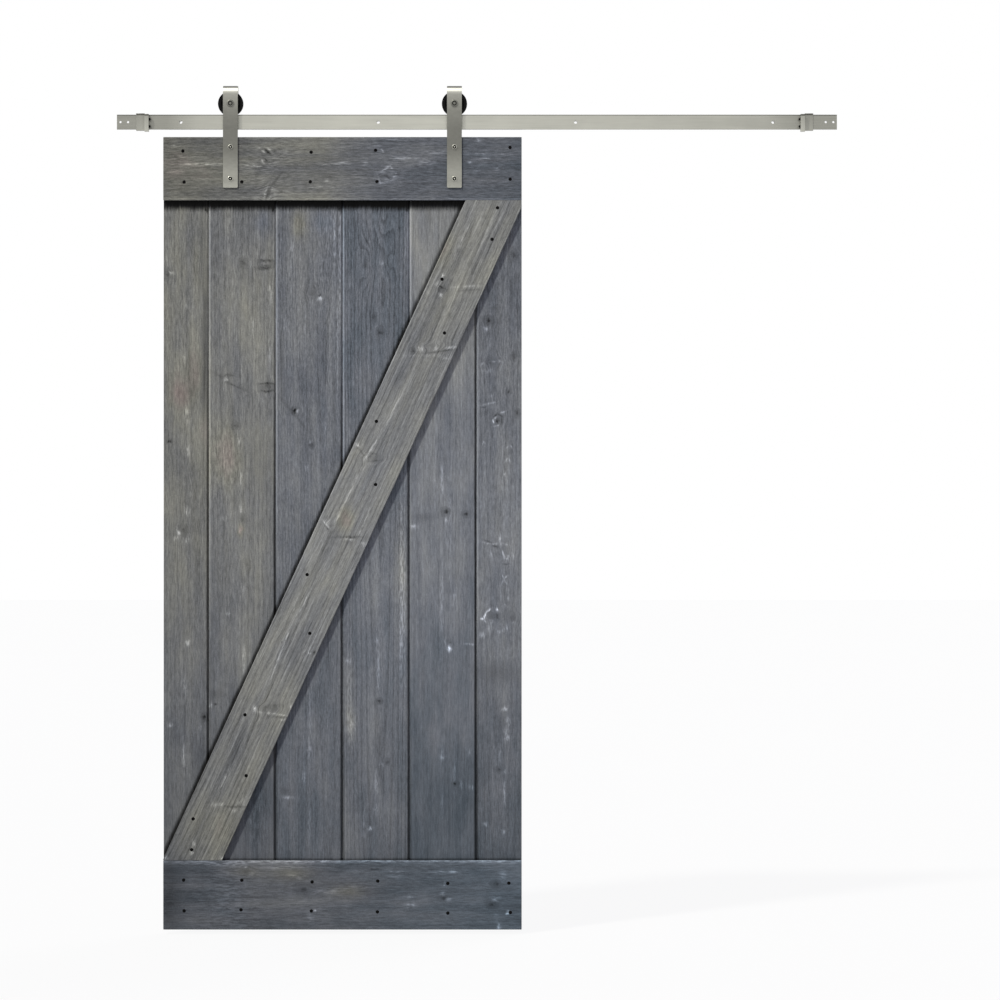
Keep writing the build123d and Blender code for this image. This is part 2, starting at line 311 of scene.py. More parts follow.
def pine(name, board, look, seed):
    """Grey-stained, brushed pine: fibres, rings that bend round knots, specks, streaks, dark joints, and
    painted highlight and painted shade on its edges and in its corners.
    """
    material, shader, wood = new_finish(name, roughness=0.65, specular=0.15)
    place = wood.node("ShaderNodeTexCoord", output="Object")
    from_middle = wood.vector("SUBTRACT", place, board.middle)
    run = wood.dot(from_middle, board.along)
    side = wood.dot(from_middle, board.across)
    deep = wood.dot(from_middle, ROOM)
    own = wood.node("ShaderNodeCombineXYZ", {0: run, 1: side, 2: deep})
    share = run / board.length + 0.5
    on_front = wood.step(deep, -FRONT_DEPTH - FRONT_FADE, -FRONT_DEPTH)
    on_back = wood.step(deep, -BACK_DEPTH, -BACK_DEPTH - BACK_FADE)

    # Spots are set out in millimetres from the leaf's top left corner, and their outlines wander
    corner = Vector((-leaf_left / MM, 0, leaf_top / MM))
    leaf = wood.vector("MULTIPLY_ADD", place, (1 / MM, 0, -1 / MM), corner)
    sockets = {"Vector": place, "Scale": WANDER_BUMPS, "Detail": 4}
    wander = wood.node("ShaderNodeTexNoise", sockets, "Color")
    wander = wood.vector("SUBTRACT", wander, (0.5, 0.5, 0.5))
    spots = wood.vector("MULTIPLY_ADD", wander, (UNEVEN, 0, UNEVEN), leaf)
    strokes = wood.vector("MULTIPLY_ADD", wander, (STRAY, 0, STRAY), leaf)

    # The grain sways, and goes round the knots
    bend = (wood.noise(own, SWAY_BUMPS, seed, detail=1.0) - 0.5) * SWAY
    knots = 0.0
    for across, down, wide, high, dark in look.get("knots", ()):
        near = wood.lump(spots, (across, 0, down), (wide, 0, high))
        bend = bend - near * (side - board.place(across, down).y) * KNOT_SWIRL
        outline = (near * (1 - near) * 4) ** KNOT_RING_THIN
        knots = knots + (near ** KNOT_CORE + outline * KNOT_RING) * dark
    grain_side = side + bend
    grain = wood.node("ShaderNodeCombineXYZ", {0: run, 1: grain_side, 2: deep})

    # Fibres, brushed lines and broad bands along the grain
    dashes = wood.noise(grain, DASH_BUMPS, seed + 1)
    fibres = wood.noise(grain, FIBRE_BUMPS, seed + 2)
    lines = wood.noise(grain, LINE_BUMPS, seed + 3, rough=0.6)
    bands = wood.noise(grain, BAND_BUMPS, seed + 4)
    blotch = wood.noise(own, BLOTCH_BUMPS, seed + 5, detail=3.0, rough=0.6)
    grit = wood.noise(own, GRIT_BUMPS, seed + 6, detail=1.0)
    pale_lines = wood.step(lines, *PALE_LINE)
    dark_lines = wood.step(lines, *DARK_LINE)

    # Growth rings, dark and sharp on their outer side, that close into arches round a swelling of the log
    pith_side, pith_deep, lean = look["pith"]
    ring_deep = deep + run * lean + pith_deep
    ring_side = grain_side - pith_side
    radius = wood.math("SQRT", ring_side * ring_side + ring_deep * ring_deep)
    count = radius / RING_WIDTH + bands * RING_WAVER
    for across, down, wide, high, rings in look.get("swells", ()):
        count = count + wood.lump(leaf, (across, 0, down), (wide, 0, high)) * rings
    ring = wood.math("FRACT", count)
    late = wood.step(ring, *LATE_START) * wood.step(ring, *LATE_END)

    # How light the stain is, as a display value from 0 to 1
    fine = (dashes - 0.5) * look.get("dashes", DASHES) + (fibres - 0.5) * FIBRES + (grit - 0.5) * GRIT
    fine = fine + (pale_lines - dark_lines) * look.get("lines", LINES)
    fine = fine + (RING_MEAN - late) * look.get("rings", RINGS)
    broad = (bands - 0.5) * BANDS + (blotch - 0.5) * BLOTCH
    shade = wood.tones(share, look["tone"]) + fine * wood.tones(share, look.get("busy", BUSY)) + broad

    # Specks and smears, streaks along the grain, and strokes that slant across it
    marks = 0.0
    for across, down, wide, high, amount in look.get("spots", ()):
        marks = marks + wood.lump(spots, (across, 0, down), (wide, 0, high)) * amount
    for across, down, to_across, to_down, width, amount in look.get("streaks", ()):
        start = board.place(across, down)
        end = board.place(to_across, to_down)
        halves = (abs(end.x - start.x) / 2, width * MM, 0)
        marks = marks + wood.lump(grain, (start + end) / 2, halves) * amount
    for across, down, to_across, to_down, width, amount in look.get("strokes", ()):
        start = Vector((across, 0, down))
        end = Vector((to_across, 0, to_down))
        marks = marks + wood.stroke(strokes, start, end, width) * amount
    broken = wood.step(dashes, 0.35, 0.65, low=0.35, high=1.5)  # the grain breaks marks up
    shade = shade + (marks * on_front - knots) * broken

    # Edges are painted paler or darker: painted highlight and painted shade on the lit and shaded sides of
    # the joints and on the lit arrises of the boards. The joints of the back are darker, and painted shade
    # darkens the corners between boards, where the boards' shadow falls.
    from_edge = board.width / 2 - abs(side)
    high_side = wood.step(side, -MM, MM)
    reach = high_side * (look.get("high_reach", EDGE_REACH) - EDGE_REACH) + EDGE_REACH
    edge = wood.within(from_edge / reach, 1) * on_front
    high_edge = wood.tones(share, look.get("high_edge", LEVEL_EDGE)) - LEVEL
    low_edge = wood.tones(share, look.get("low_edge", LEVEL_EDGE)) - LEVEL
    shade = shade + edge * (high_edge * high_side + low_edge * (1 - high_side))
    shade = shade - wood.within(from_edge, BACK_REACH) * on_back * BACK_DARK
    # Painted shade next to the top board, the bottom board and the brace, where their shadow falls
    for point, away, solid, fade, depth in look.get("corners", ()):
        distance = abs(wood.dot(wood.vector("SUBTRACT", place, point), away))
        distance = distance + (blotch - 0.5) * (fade * CORNER_UNEVEN)
        shade = shade - wood.step(distance, fade, solid) * depth * on_front

    # The stain's colour, from blue to brown, its gloss and its relief
    shade = wood.math("MAXIMUM", wood.math("MINIMUM", shade, PALEST), DARKEST)
    warmth = wood.tones(share, look["warmth"]) + (blotch - 0.5) * WARM_BLOTCH + (bands - 0.5) * WARM_BANDS
    for across, down, wide, high, amount in look.get("warm_spots", ()):
        warmth = warmth + wood.lump(spots, (across, 0, down), (wide, 0, high)) * amount
    tint = wood.node("ShaderNodeValToRGB", {0: warmth}, stops=TINTS)
    wood.feed(shader.inputs["Base Color"], wood.scaled(tint, shade ** GAMMA))
    wood.feed(shader.inputs["Roughness"], 0.78 - dashes * 0.2)
    relief = dashes * 0.5 + lines * 0.5 - late * 0.2 - knots
    raise_grain(wood, shader, relief, strength=0.6, depth=0.6 * MM)
    return material


# Metal, plastic and rubber

NICKEL = (1.0, 0.995, 0.89)

# Bumps per metre across and along the brushing
BRUSH_BUMPS = (1500, 12)
PATCH_BUMPS = (90, 6)
CLOUD_BUMPS = 14  # in all directions
HARDWARE_DEPTH = 60 * MM  # how far out from the wall the bolts' finish is laid out


def even(bumps):
    """The same bumps per metre on each axis."""
    return Vector((bumps, bumps, bumps))


def drawn_out(along, across_bumps, along_bumps):
    """Bumps per metre on each axis, for a pattern that is drawn out along one of them."""
    return even(across_bumps) - along * (across_bumps - along_bumps)


def brushed_nickel(name, along, start, end, tones, seed, painted_shade_tops=(), band=2.7 * MM, painted_top_shade=0.17):
    """Satin nickel, brushed along one axis, its tone changing along that axis as its stops say, with
    painted shade along its top edges.
    """
    material, shader, metal = new_finish(name, roughness=0.36, metallic=1.0)
    place = metal.node("ShaderNodeTexCoord", output="Object")
    lines = metal.noise(place, drawn_out(along, *BRUSH_BUMPS), seed, detail=3.0, rough=0.6)
    patches = metal.noise(place, drawn_out(along, *PATCH_BUMPS), seed + 1)
    cloud = metal.noise(place, even(CLOUD_BUMPS), seed + 2)
    share = (metal.dot(place, along) - start) / (end - start)
    tone = metal.tones(share, tones)
    for pattern, amount in ((lines, 0.1), (patches, 0.05), (cloud, 0.04)):
        tone = tone + (pattern - 0.5) * amount
    # Painted shade along each top edge
    for level in painted_shade_tops:
        height = metal.dot(place, UP) - level
        tone = tone - metal.within(abs(height), band, soft=0.2) * painted_top_shade
    metal.feed(shader.inputs["Base Color"], metal.scaled(NICKEL, tone ** GAMMA))
    metal.feed(shader.inputs["Roughness"], 0.3 + lines * 0.14 + cloud * 0.06)
    raise_grain(metal, shader, lines, strength=0.25, depth=0.08 * MM)
    return material


def even_nickel(name, tone, seed):
    """Satin nickel of one tone, for bolts and for the painted shade in their sockets, brushed along their
    axis.
    """
    return brushed_nickel(name, WALL, -HARDWARE_DEPTH, 0.0, [(0, tone), (1, tone)], seed)


def black_nylon(name):
    """Moulded black nylon, satin, with a grey bloom."""
    material, shader, nylon = new_finish(name, roughness=0.45, specular=0.08)
    place = nylon.node("ShaderNodeTexCoord", output="Object")
    cloud = nylon.noise(place, even(60), seed=1.0, detail=3.0)
    grit = nylon.noise(place, even(1400), seed=2.0)
    dark = nylon.mixed(cloud, (0.002, 0.002, 0.002, 1), (0.005, 0.005, 0.005, 1))
    nylon.feed(shader.inputs["Base Color"], dark)
    nylon.feed(shader.inputs["Roughness"], 0.34 + cloud * 0.2)
    raise_grain(nylon, shader, grit, strength=0.15, depth=0.1 * MM)
    return material


def black_rubber(name):
    """Dull rubber with a fine tooth."""
    material, shader, rubber = new_finish(name, roughness=0.8, specular=0.1)
    place = rubber.node("ShaderNodeTexCoord", output="Object")
    tooth = rubber.noise(place, even(900), seed=5.0, detail=3.0)
    dark = rubber.mixed(tooth, (0.003, 0.003, 0.003, 1), (0.008, 0.008, 0.008, 1))
    rubber.feed(shader.inputs["Base Color"], dark)
    rubber.feed(shader.inputs["Roughness"], 0.7 + tooth * 0.25)
    raise_grain(rubber, shader, tooth, strength=0.3, depth=0.1 * MM)
    return material


def black_iron(name):
    """Blackened iron, hammered, with a few brown specks."""
    material, shader, iron = new_finish(name, roughness=0.6, specular=0.05)
    place = iron.node("ShaderNodeTexCoord", output="Object")
    dents = iron.noise(place, even(320), seed=7.0)
    rust = iron.step(iron.noise(place, even(500), seed=8.0, detail=3.0), 0.6, 0.75)
    dark = iron.mixed(rust * 0.6, (0.002, 0.002, 0.002, 1), (0.009, 0.006, 0.005, 1))
    iron.feed(shader.inputs["Base Color"], dark)
    iron.feed(shader.inputs["Roughness"], 0.42 + rust * 0.3 + dents * 0.15)
    raise_grain(iron, shader, dents, strength=0.5, depth=0.4 * MM)
    return material


# Meshes

SHARP = radians(32)
SAME_PLACE = 0.001 * MM


def new_piece(name, build, material, body, slot, *nodes, inside=None):
    """Turns a finished bmesh into a piece that rides on a body and stands for CAD nodes."""
    bmesh.ops.recalc_face_normals(build, faces=build.faces)
    rounded = any(face.smooth for face in build.faces)
    mesh = bpy.data.meshes.new(name)
    build.to_mesh(mesh)
    build.free()
    mesh.materials.append(material)
    if inside:
        mesh.materials.append(inside)
    piece = bpy.data.objects.new(name, mesh)
    bpy.context.scene.collection.objects.link(piece)
    if rounded:
        piece.modifiers.new("flat_faces_stay_flat", "WEIGHTED_NORMAL").keep_sharp = True
    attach(piece, body)
    if nodes:
        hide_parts(*nodes)
    return piece


def sharp_edges(build):
    return [edge for edge in build.edges if edge.calc_face_angle(0.0) > SHARP]


def smooth_rounds(build):
    """Smooth shading, with the sharp edges kept sharp."""
    for face in build.faces:
        face.smooth = True
    for edge in sharp_edges(build):
        edge.smooth = False


def ease(build, edges, width, segments=2):
    """Rounds edges over, smoothly shaded."""
    made = bmesh.ops.bevel(
        build,
        geom=list(edges),
        offset=width,
        affect="EDGES",
        segments=segments,
        profile=0.5,
        material=-1,
        clamp_overlap=True,
    )
    for face in made["faces"]:
        face.smooth = True


def block(build, low, high):
    """Adds a box between two corners."""
    size = high - low
    place = Matrix.Translation((low + high) / 2) @ Matrix.Diagonal((*size, 1))
    return bmesh.ops.create_cube(build, size=1, matrix=place)["verts"]


def extruded(build, outline, travel):
    """A few corner points made a face and pulled out along a vector."""
    face = build.faces.new([build.verts.new(point) for point in outline])
    pulled = bmesh.ops.extrude_face_region(build, geom=[face])["geom"]
    moved = [part for part in pulled if isinstance(part, bmesh.types.BMVert)]
    bmesh.ops.translate(build, verts=moved, vec=travel)


def pulled_edges(build, edges, travel):
    """Extrudes edges along a vector and returns the new end's edges."""
    made = bmesh.ops.extrude_edge_only(build, edges=edges)["geom"]
    ends = [part for part in made if isinstance(part, bmesh.types.BMVert)]
    bmesh.ops.translate(build, verts=ends, vec=travel)
    edges = [part for part in made if isinstance(part, bmesh.types.BMEdge)]
    return [edge for edge in edges if set(edge.verts) <= set(ends)]


def turned(build, profile, origin, axis, closed=False, steps=48):
    """Spins a profile of (radius, height) points about an axis."""
    side = axis.orthogonal().normalized()
    points = [build.verts.new(origin + axis * height + side * radius) for radius, height in profile]
    edges = [build.edges.new(pair) for pair in zip(points, points[1:])]
    if closed:
        edges.append(build.edges.new((points[-1], points[0])))
    bmesh.ops.spin(
        build, geom=points + edges, cent=origin, axis=axis, angle=2 * pi, steps=steps, use_merge=True
    )
    bmesh.ops.remove_doubles(build, verts=build.verts, dist=SAME_PLACE)


def rounded_rim(radius, height, rounding, steps=4):
    """Profile points of a rounded outer rim, from the side up to the top."""
    turns = [step * pi / 2 / steps for step in range(steps + 1)]
    return [(radius - rounding * (1 - cos(turn)), height - rounding * (1 - sin(turn))) for turn in turns]


RIM_STEPS = 48
PIN_HEIGHT = 0.85  # of the socket's depth
LIP = 0.6  # the radius of the ring of painted shade, as a share of the socket's width


def circle(build, radius, place):
    """Adds a ring of edges and returns them."""
    before = set(build.edges)
    bmesh.ops.create_circle(build, segments=RIM_STEPS, radius=radius, matrix=place)
    return list(set(build.edges) - before)


def hexagon(build, across_flats, place, cuts):
    """Adds a hexagon of edges, each cut into shorter ones, and returns its edges."""
    before = set(build.edges)
    bmesh.ops.create_circle(build, segments=6, radius=across_flats / 2 / cos(pi / 6), matrix=place)
    bmesh.ops.subdivide_edges(build, edges=list(set(build.edges) - before), cuts=cuts)
    return list(set(build.edges) - before)


def socket_head(build, seat, axis, radius, height, rounding, shank, reach, across_flats, depth, pin):
    """A round head on a plain shank, with a hex socket in a ring of painted shade and a round pin in it.
    """
    lip = across_flats * LIP
    turn = axis.to_track_quat("Z", "Y").to_matrix().to_4x4()
    top = Matrix.Translation(seat + axis * height) @ turn
    floor = Matrix.Translation(seat + axis * (height - depth)) @ turn
    rim = circle(build, lip, top)
    socket = hexagon(build, across_flats, top, RIM_STEPS // 6 - 1)
    bmesh.ops.bridge_loops(build, edges=rim + socket)
    pulled_edges(build, socket, -axis * depth)
    foot = circle(build, pin, floor)
    bmesh.ops.bridge_loops(build, edges=foot + hexagon(build, across_flats, floor, RIM_STEPS // 6 - 1))
    # The ring, the socket's walls and its floor take the second material, which is painted shade
    for face in build.faces:
        face.material_index = 1
    pin_rim = pulled_edges(build, foot, axis * depth * PIN_HEIGHT)
    for face in bmesh.ops.edgenet_fill(build, edges=pin_rim)["faces"]:
        face.material_index = 0
    profile = [(0, -reach), (shank, -reach), (shank, 0), (radius, 0)]
    profile += rounded_rim(radius, height, rounding) + [(lip, height)]
    turned(build, profile, seat, axis, steps=RIM_STEPS)


# Boards

def plank_section(left, right, grooved, tongued):
    """A plank's outline seen from above, from its left front corner round to the left."""
    front = plank_front
    back = plank_back
    middle = (front + back) / 2
    lip = TONGUE_THICK / 2
    slot_lip = lip + TONGUE_PLAY
    slot_end = left + TONGUE + TONGUE_PLAY
    left_vee, left_back = (VEE, BACK_VEE) if grooved else (ARRIS, ARRIS)
    right_vee, right_back = (VEE, BACK_VEE) if tongued else (ARRIS, ARRIS)
    points = [(left + left_vee, front), (right - right_vee, front), (right, front + right_vee)]
    if tongued:
        points += [(right, middle - lip), (right + TONGUE, middle - lip)]
        points += [(right + TONGUE, middle + lip), (right, middle + lip)]
    points += [(right, back - right_back), (right - right_back, back)]
    points += [(left + left_back, back), (left, back - left_back)]
    if grooved:
        points += [(left, middle + slot_lip), (slot_end, middle + slot_lip)]
        points += [(slot_end, middle - slot_lip), (left, middle - slot_lip)]
    points += [(left, front + left_vee)]
    return points


def brace_axis():
    """The brace's middle and direction, from the heel of its upper edge and the toe of its lower one."""
    heel = Vector((leaf_left, board_front, field_bottom + BRACE_HEEL))
    toe = Vector((leaf_right, board_front, field_top - BRACE_TOE))
    diagonal = toe - heel
    angle = atan2(diagonal.z, diagonal.x) + asin(BRACE_WIDTH / diagonal.length)
    return (heel + toe) / 2, Vector((cos(angle), 0, sin(angle)))


# Finishes of the boards. Tone, warmth and edges are stops from a board's start to its end:
# from top to bottom on a plank, from left to right on a board, from bottom to top on the brace.
# Places are millimetres right of and below the leaf's top left corner:
# a spot is (across, down, half width, half height, amount), above 0 where it is pale,
# a knot (across, down, half width, half height, darkness),
# a swell (across, down, half width, half height, rings)
# and a streak or stroke (across, down, to across, to down, half width, amount).
# Painted light on the planks' vee joints: a painted highlight on the right side of each joint, which faces
# the light, and painted shade on its left side; both sides turn darker lower down. The planks' own
# low_edge and high_edge stops paint the same highlight and shade.
VEE_PAINTED_HIGHLIGHT = [(0, 0.66), (0.28, 0.64), (0.42, 0.6), (0.53, 0.52), (0.65, 0.44), (1, 0.42)]
VEE_PAINTED_SHADE = [(0, 0.54), (0.12, 0.53), (0.28, 0.45), (0.4, 0.33), (0.65, 0.32), (1, 0.36)]
PLANK_LOOKS = [
    dict(
        tone=[(0, 0.445), (0.4, 0.43), (0.5, 0.43), (0.75, 0.38), (1, 0.365)],
        warmth=[(0, 0.68), (0.5, 0.66), (0.75, 0.45), (1, 0.5)],
        pith=(0.03, 0.05, 0.012),
        high_edge=VEE_PAINTED_SHADE,
        knots=[(10, 366, 14, 18, 0.16), (52, 1060, 14, 18, 0.16), (110, 1562, 12, 14, 0.18)],
        spots=[
            (19, 365, 6, 5, 0.25), (12, 335, 5, 14, 0.07), (63, 455, 4, 8, 0.06),
            (57, 590, 4, 13, 0.09), (61, 740, 5, 13, 0.12), (62, 764, 8, 10, 0.06),
            (63, 845, 7, 18, 0.1), (16, 819, 7, 5, -0.2), (63, 1005, 6, 11, 0.17),
            (40, 1068, 5, 12, 0.28), (60, 1086, 9, 6, 0.13), (30, 1080, 7, 5, 0.09),
            (64, 1363, 7, 7, 0.26), (55, 1485, 6, 25, 0.1), (18, 1586, 7, 5, 0.13),
            (98, 1590, 4, 14, 0.07),
        ],
        streaks=[
            (110, 200, 110, 860, 7, -0.08), (53, 1637, 53, 1702, 3.5, 0.12),
            (74, 900, 74, 990, 3, 0.06),
        ],
        warm_spots=[(85, 640, 22, 60, 0.18), (45, 690, 30, 40, 0.25)],
    ),
    dict(
        tone=[(0, 0.42), (0.4, 0.455), (0.6, 0.405), (1, 0.385)],
        warmth=[(0, 0.58), (0.4, 0.62), (0.7, 0.45), (1, 0.45)],
        pith=(-0.02, 0.06, 0.01),
        low_edge=[(0, 0.7), (0.3, 0.61), (0.5, 0.59), (0.62, 0.54), (0.75, 0.45), (1, 0.42)],
        high_edge=VEE_PAINTED_SHADE,
        knots=[
            (215, 337, 16, 16, 0.14), (276, 342, 24, 14, 0.12), (278, 672, 24, 16, 0.12),
            (193, 778, 12, 12, 0.16), (212, 1029, 12, 18, 0.1), (225, 1150, 14, 20, 0.08),
        ],
        spots=[
            (236, 340, 6, 9, 0.07), (276, 339, 12, 3, 0.1), (268, 352, 20, 4, -0.12),
            (276, 332, 20, 3, -0.12), (288, 415, 6, 36, 0.09), (288, 570, 4, 35, 0.06),
            (168, 651, 5, 5, 0.28), (172, 641, 18, 4, -0.1), (280, 664, 22, 3, -0.14),
            (276, 684, 20, 3, -0.12), (209, 1005, 4, 9, 0.14), (165, 1028, 8, 7, 0.07),
            (208, 1060, 4, 14, 0.1), (212, 1230, 5, 18, 0.11), (174, 1281, 5, 6, 0.17),
            (216, 1392, 4, 16, 0.13), (125, 1530, 5, 6, 0.18), (136, 1528, 8, 4, -0.15),
            (140, 1500, 16, 16, -0.07), (250, 1830, 60, 140, -0.1), (165, 870, 40, 90, 0.05),
            (255, 870, 30, 90, -0.03),
        ],
        streaks=[
            (243, 480, 243, 535, 2.5, 0.1), (213, 585, 213, 660, 2.5, 0.08),
            (204, 797, 204, 838, 3.5, 0.16), (210, 895, 210, 940, 4, 0.1),
            (216, 1405, 216, 1445, 3.5, 0.09), (180, 200, 180, 320, 3, 0.05),
        ],
        strokes=[(126, 628, 180, 662, 4, -0.06), (160, 656, 228, 685, 3, -0.08)],
        warm_spots=[
            (165, 862, 48, 85, 0.3), (208, 1060, 6, 16, 0.3), (265, 230, 20, 40, -0.25),
            (250, 1830, 60, 140, -0.3),
        ],
    ),
    dict(
        tone=[(0, 0.405), (0.4, 0.42), (0.7, 0.38), (1, 0.345)],
        warmth=[(0, 0.42), (0.5, 0.36), (0.8, 0.25), (1, 0.25)],
        pith=(0.05, 0.04, 0.01),
        low_edge=VEE_PAINTED_HIGHLIGHT,
        high_edge=VEE_PAINTED_SHADE,
        knots=[
            (398, 420, 22, 20, 0.08), (356, 738, 14, 14, 0.18), (395, 828, 14, 12, 0.1),
            (330, 1764, 16, 14, 0.12),
        ],
        spots=[
            (347, 296, 6, 13, 0.08), (422, 434, 5, 5, 0.26), (422, 425, 5, 3, -0.14),
            (330, 505, 10, 16, 0.05), (445, 330, 26, 160, 0.025), (360, 738, 4, 5, 0.24),
            (353, 734, 4, 3, -0.25), (398, 820, 4, 5, 0.17), (385, 890, 4, 7, 0.14),
            (435, 780, 3, 11, 0.09), (333, 1778, 11, 4, 0.15), (380, 1722, 4, 20, 0.11),
            (394, 1645, 4, 30, 0.09),
        ],
        streaks=[
            (462, 190, 462, 340, 3, 0.12), (477, 190, 477, 520, 3, 0.12),
            (470, 360, 470, 700, 2.5, 0.07), (345, 300, 345, 460, 3, 0.05),
            (393, 1480, 393, 1620, 4, 0.06), (393, 1800, 393, 1890, 3.5, 0.08),
            (320, 530, 320, 700, 8, -0.05), (390, 330, 390, 520, 3, -0.07),
        ],
        strokes=[(306, 690, 345, 742, 5, -0.05), (335, 722, 388, 790, 4, -0.05)],
        warm_spots=[(365, 235, 20, 40, 0.3), (430, 230, 30, 30, -0.2)],
    ),
    dict(
        tone=[(0, 0.36), (0.4, 0.39), (0.65, 0.41), (1, 0.345)],
        warmth=[(0, 0.2), (0.4, 0.26), (0.65, 0.3), (1, 0.3)],
        pith=(0.01, 0.05, 0.012),
        rings=0.06,
        low_edge=VEE_PAINTED_HIGHLIGHT,
        high_edge=VEE_PAINTED_SHADE,
        knots=[
            (584, 523, 14, 16, 0.15), (566, 484, 10, 20, 0.12), (581, 1519, 10, 10, 0.22),
            (603, 1684, 10, 10, 0.14),
        ],
        swells=[(593, 200, 24, 90, 3.4), (549, 340, 18, 62, 3.2), (608, 335, 14, 30, 1.6)],
        spots=[
            (588, 340, 5, 5, 0.1), (495, 1410, 9, 6, 0.09), (506, 1585, 12, 34, 0.09),
            (575, 1355, 3, 9, 0.09), (573, 1812, 5, 11, 0.11), (588, 1690, 5, 7, 0.11),
            (557, 1863, 5, 6, 0.22), (518, 1765, 6, 11, 0.07),
        ],
        streaks=[
            (643, 1010, 643, 1420, 8, 0.13), (503, 1340, 503, 1630, 7, 0.05),
            (578, 1390, 578, 1490, 3.5, 0.12), (573, 1715, 573, 1770, 4, 0.12),
            (540, 1810, 540, 1895, 3.5, 0.07), (638, 1310, 638, 1420, 4, 0.06),
        ],
        warm_spots=[(642, 1150, 16, 130, 0.2), (502, 1450, 14, 170, 0.12), (506, 1585, 16, 50, 0.15)],
    ),
    dict(
        tone=[(0, 0.495), (0.25, 0.465), (0.45, 0.45), (0.7, 0.395), (0.85, 0.335), (1, 0.32)],
        warmth=[(0, 0.6), (0.4, 0.38), (0.7, 0.25), (1, 0.05)],
        busy=[(0, 0.9), (0.5, 0.8), (0.8, 0.5), (1, 0.45)],
        pith=(-0.04, 0.05, 0.01),
        low_edge=[(0, 0.66), (0.3, 0.58), (0.5, 0.5), (0.66, 0.5), (0.8, 0.46), (1, 0.44)],
        high_edge=[(0, 0.3), (0.4, 0.27), (0.65, 0.28), (1, 0.36)],
        knots=[
            (761, 1010, 14, 14, 0.26), (815, 1015, 12, 12, 0.18), (771, 1366, 12, 14, 0.14),
            (787, 1742, 10, 10, 0.16),
        ],
        spots=[
            (700, 1023, 32, 10, -0.05), (673, 1048, 7, 6, 0.18), (761, 1032, 3, 9, 0.12),
            (770, 1376, 6, 9, 0.4), (825, 1365, 15, 4, 0.15), (758, 1365, 3, 15, 0.08),
            (753, 1672, 9, 5, 0.09), (831, 1753, 8, 6, 0.1), (823, 1655, 6, 9, 0.09),
            (803, 1745, 4, 13, 0.08), (785, 1245, 5, 25, 0.08),
        ],
        streaks=[
            (751, 888, 751, 918, 3.5, 0.12), (752, 918, 752, 962, 4, 0.15),
            (748, 1150, 748, 1360, 6, 0.06), (751, 1630, 751, 1680, 4, 0.07),
            (785, 1690, 785, 1735, 4, 0.09), (752, 1770, 752, 1840, 3.5, 0.06),
            (770, 900, 770, 1180, 4, 0.05),
        ],
    ),
    dict(
        tone=[(0, 0.375), (0.25, 0.4), (0.45, 0.455), (0.7, 0.40), (1, 0.305)],
        warmth=[(0, 0.25), (0.4, 0.4), (0.7, 0.32), (1, 0.15)],
        pith=(0.0, 0.05, 0.015),
        low_edge=[(0, 0.5), (0.3, 0.58), (0.53, 0.58), (0.66, 0.5), (0.8, 0.4), (1, 0.4)],
        knots=[
            (944, 318, 14, 18, 0.16), (877, 493, 16, 14, 0.18), (945, 590, 14, 16, 0.15),
            (884, 604, 26, 16, 0.08), (931, 684, 10, 10, 0.14), (900, 762, 16, 16, 0.09),
            (953, 741, 10, 14, 0.14), (884, 1290, 24, 20, 0.06), (912, 1108, 24, 22, 0.06),
            (940, 1295, 22, 18, 0.07), (922, 1580, 18, 34, 0.08), (903, 1705, 10, 12, 0.1),
        ],
        spots=[
            (870, 515, 7, 5, 0.14), (892, 604, 18, 4, 0.14), (860, 612, 4, 5, 0.16),
            (872, 630, 16, 5, 0.08), (934, 845, 6, 7, -0.06), (928, 1132, 4, 5, 0.36),
            (862, 1297, 4, 5, 0.25), (885, 1305, 6, 6, 0.12), (880, 1322, 6, 11, 0.1),
            (917, 1326, 4, 6, 0.1), (900, 1291, 5, 6, -0.12), (941, 1308, 5, 5, 0.1),
            (860, 1340, 8, 6, 0.11), (918, 1540, 7, 6, 0.2), (928, 1575, 6, 12, 0.16),
            (924, 1600, 7, 10, 0.17), (925, 1619, 7, 6, 0.14), (920, 1708, 4, 7, 0.11),
            (904, 1443, 60, 26, -0.05), (869, 1851, 6, 6, 0.18), (916, 1871, 5, 6, 0.18),
        ],
        strokes=[
            (856, 722, 896, 713, 2.5, 0.13), (855, 728, 870, 727, 2.5, -0.07),
            (907, 743, 922, 738, 2.5, 0.18), (888, 772, 890, 760, 3, 0.3),
            (890, 760, 897, 753, 2.2, 0.2), (889, 779, 904, 775, 2.5, 0.2),
            (889, 755, 900, 744, 2.5, -0.13), (900, 744, 914, 753, 2.5, -0.13),
            (912, 753, 910, 775, 2.5, -0.1), (896, 760, 900, 771, 2.5, -0.14),
            (878, 702, 890, 688, 4, 0.08), (857, 829, 863, 819, 2.2, 0.13),
            (863, 819, 868, 825, 2, 0.1), (924, 838, 935, 829, 2.2, 0.11),
            (935, 829, 940, 836, 2, 0.13), (919, 876, 928, 863, 2.2, 0.1),
            (928, 863, 937, 877, 2.2, 0.1), (913, 915, 921, 904, 2.2, 0.13),
            (921, 904, 927, 932, 2.2, 0.09), (912, 915, 911, 955, 2, 0.06),
            (927, 915, 928, 955, 2, 0.06), (905, 1068, 909, 1100, 2.2, 0.22),
            (909, 1100, 919, 1136, 2.4, 0.2), (919, 1137, 928, 1133, 2.4, 0.15),
            (858, 1091, 882, 1095, 2.5, 0.1), (883, 1097, 902, 1095, 2.5, 0.1),
            (863, 1085, 886, 1093, 2.5, -0.1), (885, 1099, 902, 1105, 3, -0.1),
            (880, 1107, 886, 1135, 6, 0.07), (917, 1094, 927, 1098, 2.5, 0.13),
            (943, 1118, 942, 1144, 2.2, 0.1), (914, 1150, 932, 1150, 2.2, -0.1),
            (912, 1179, 918, 1188, 2.2, 0.18), (929, 1180, 918, 1188, 2.2, 0.2),
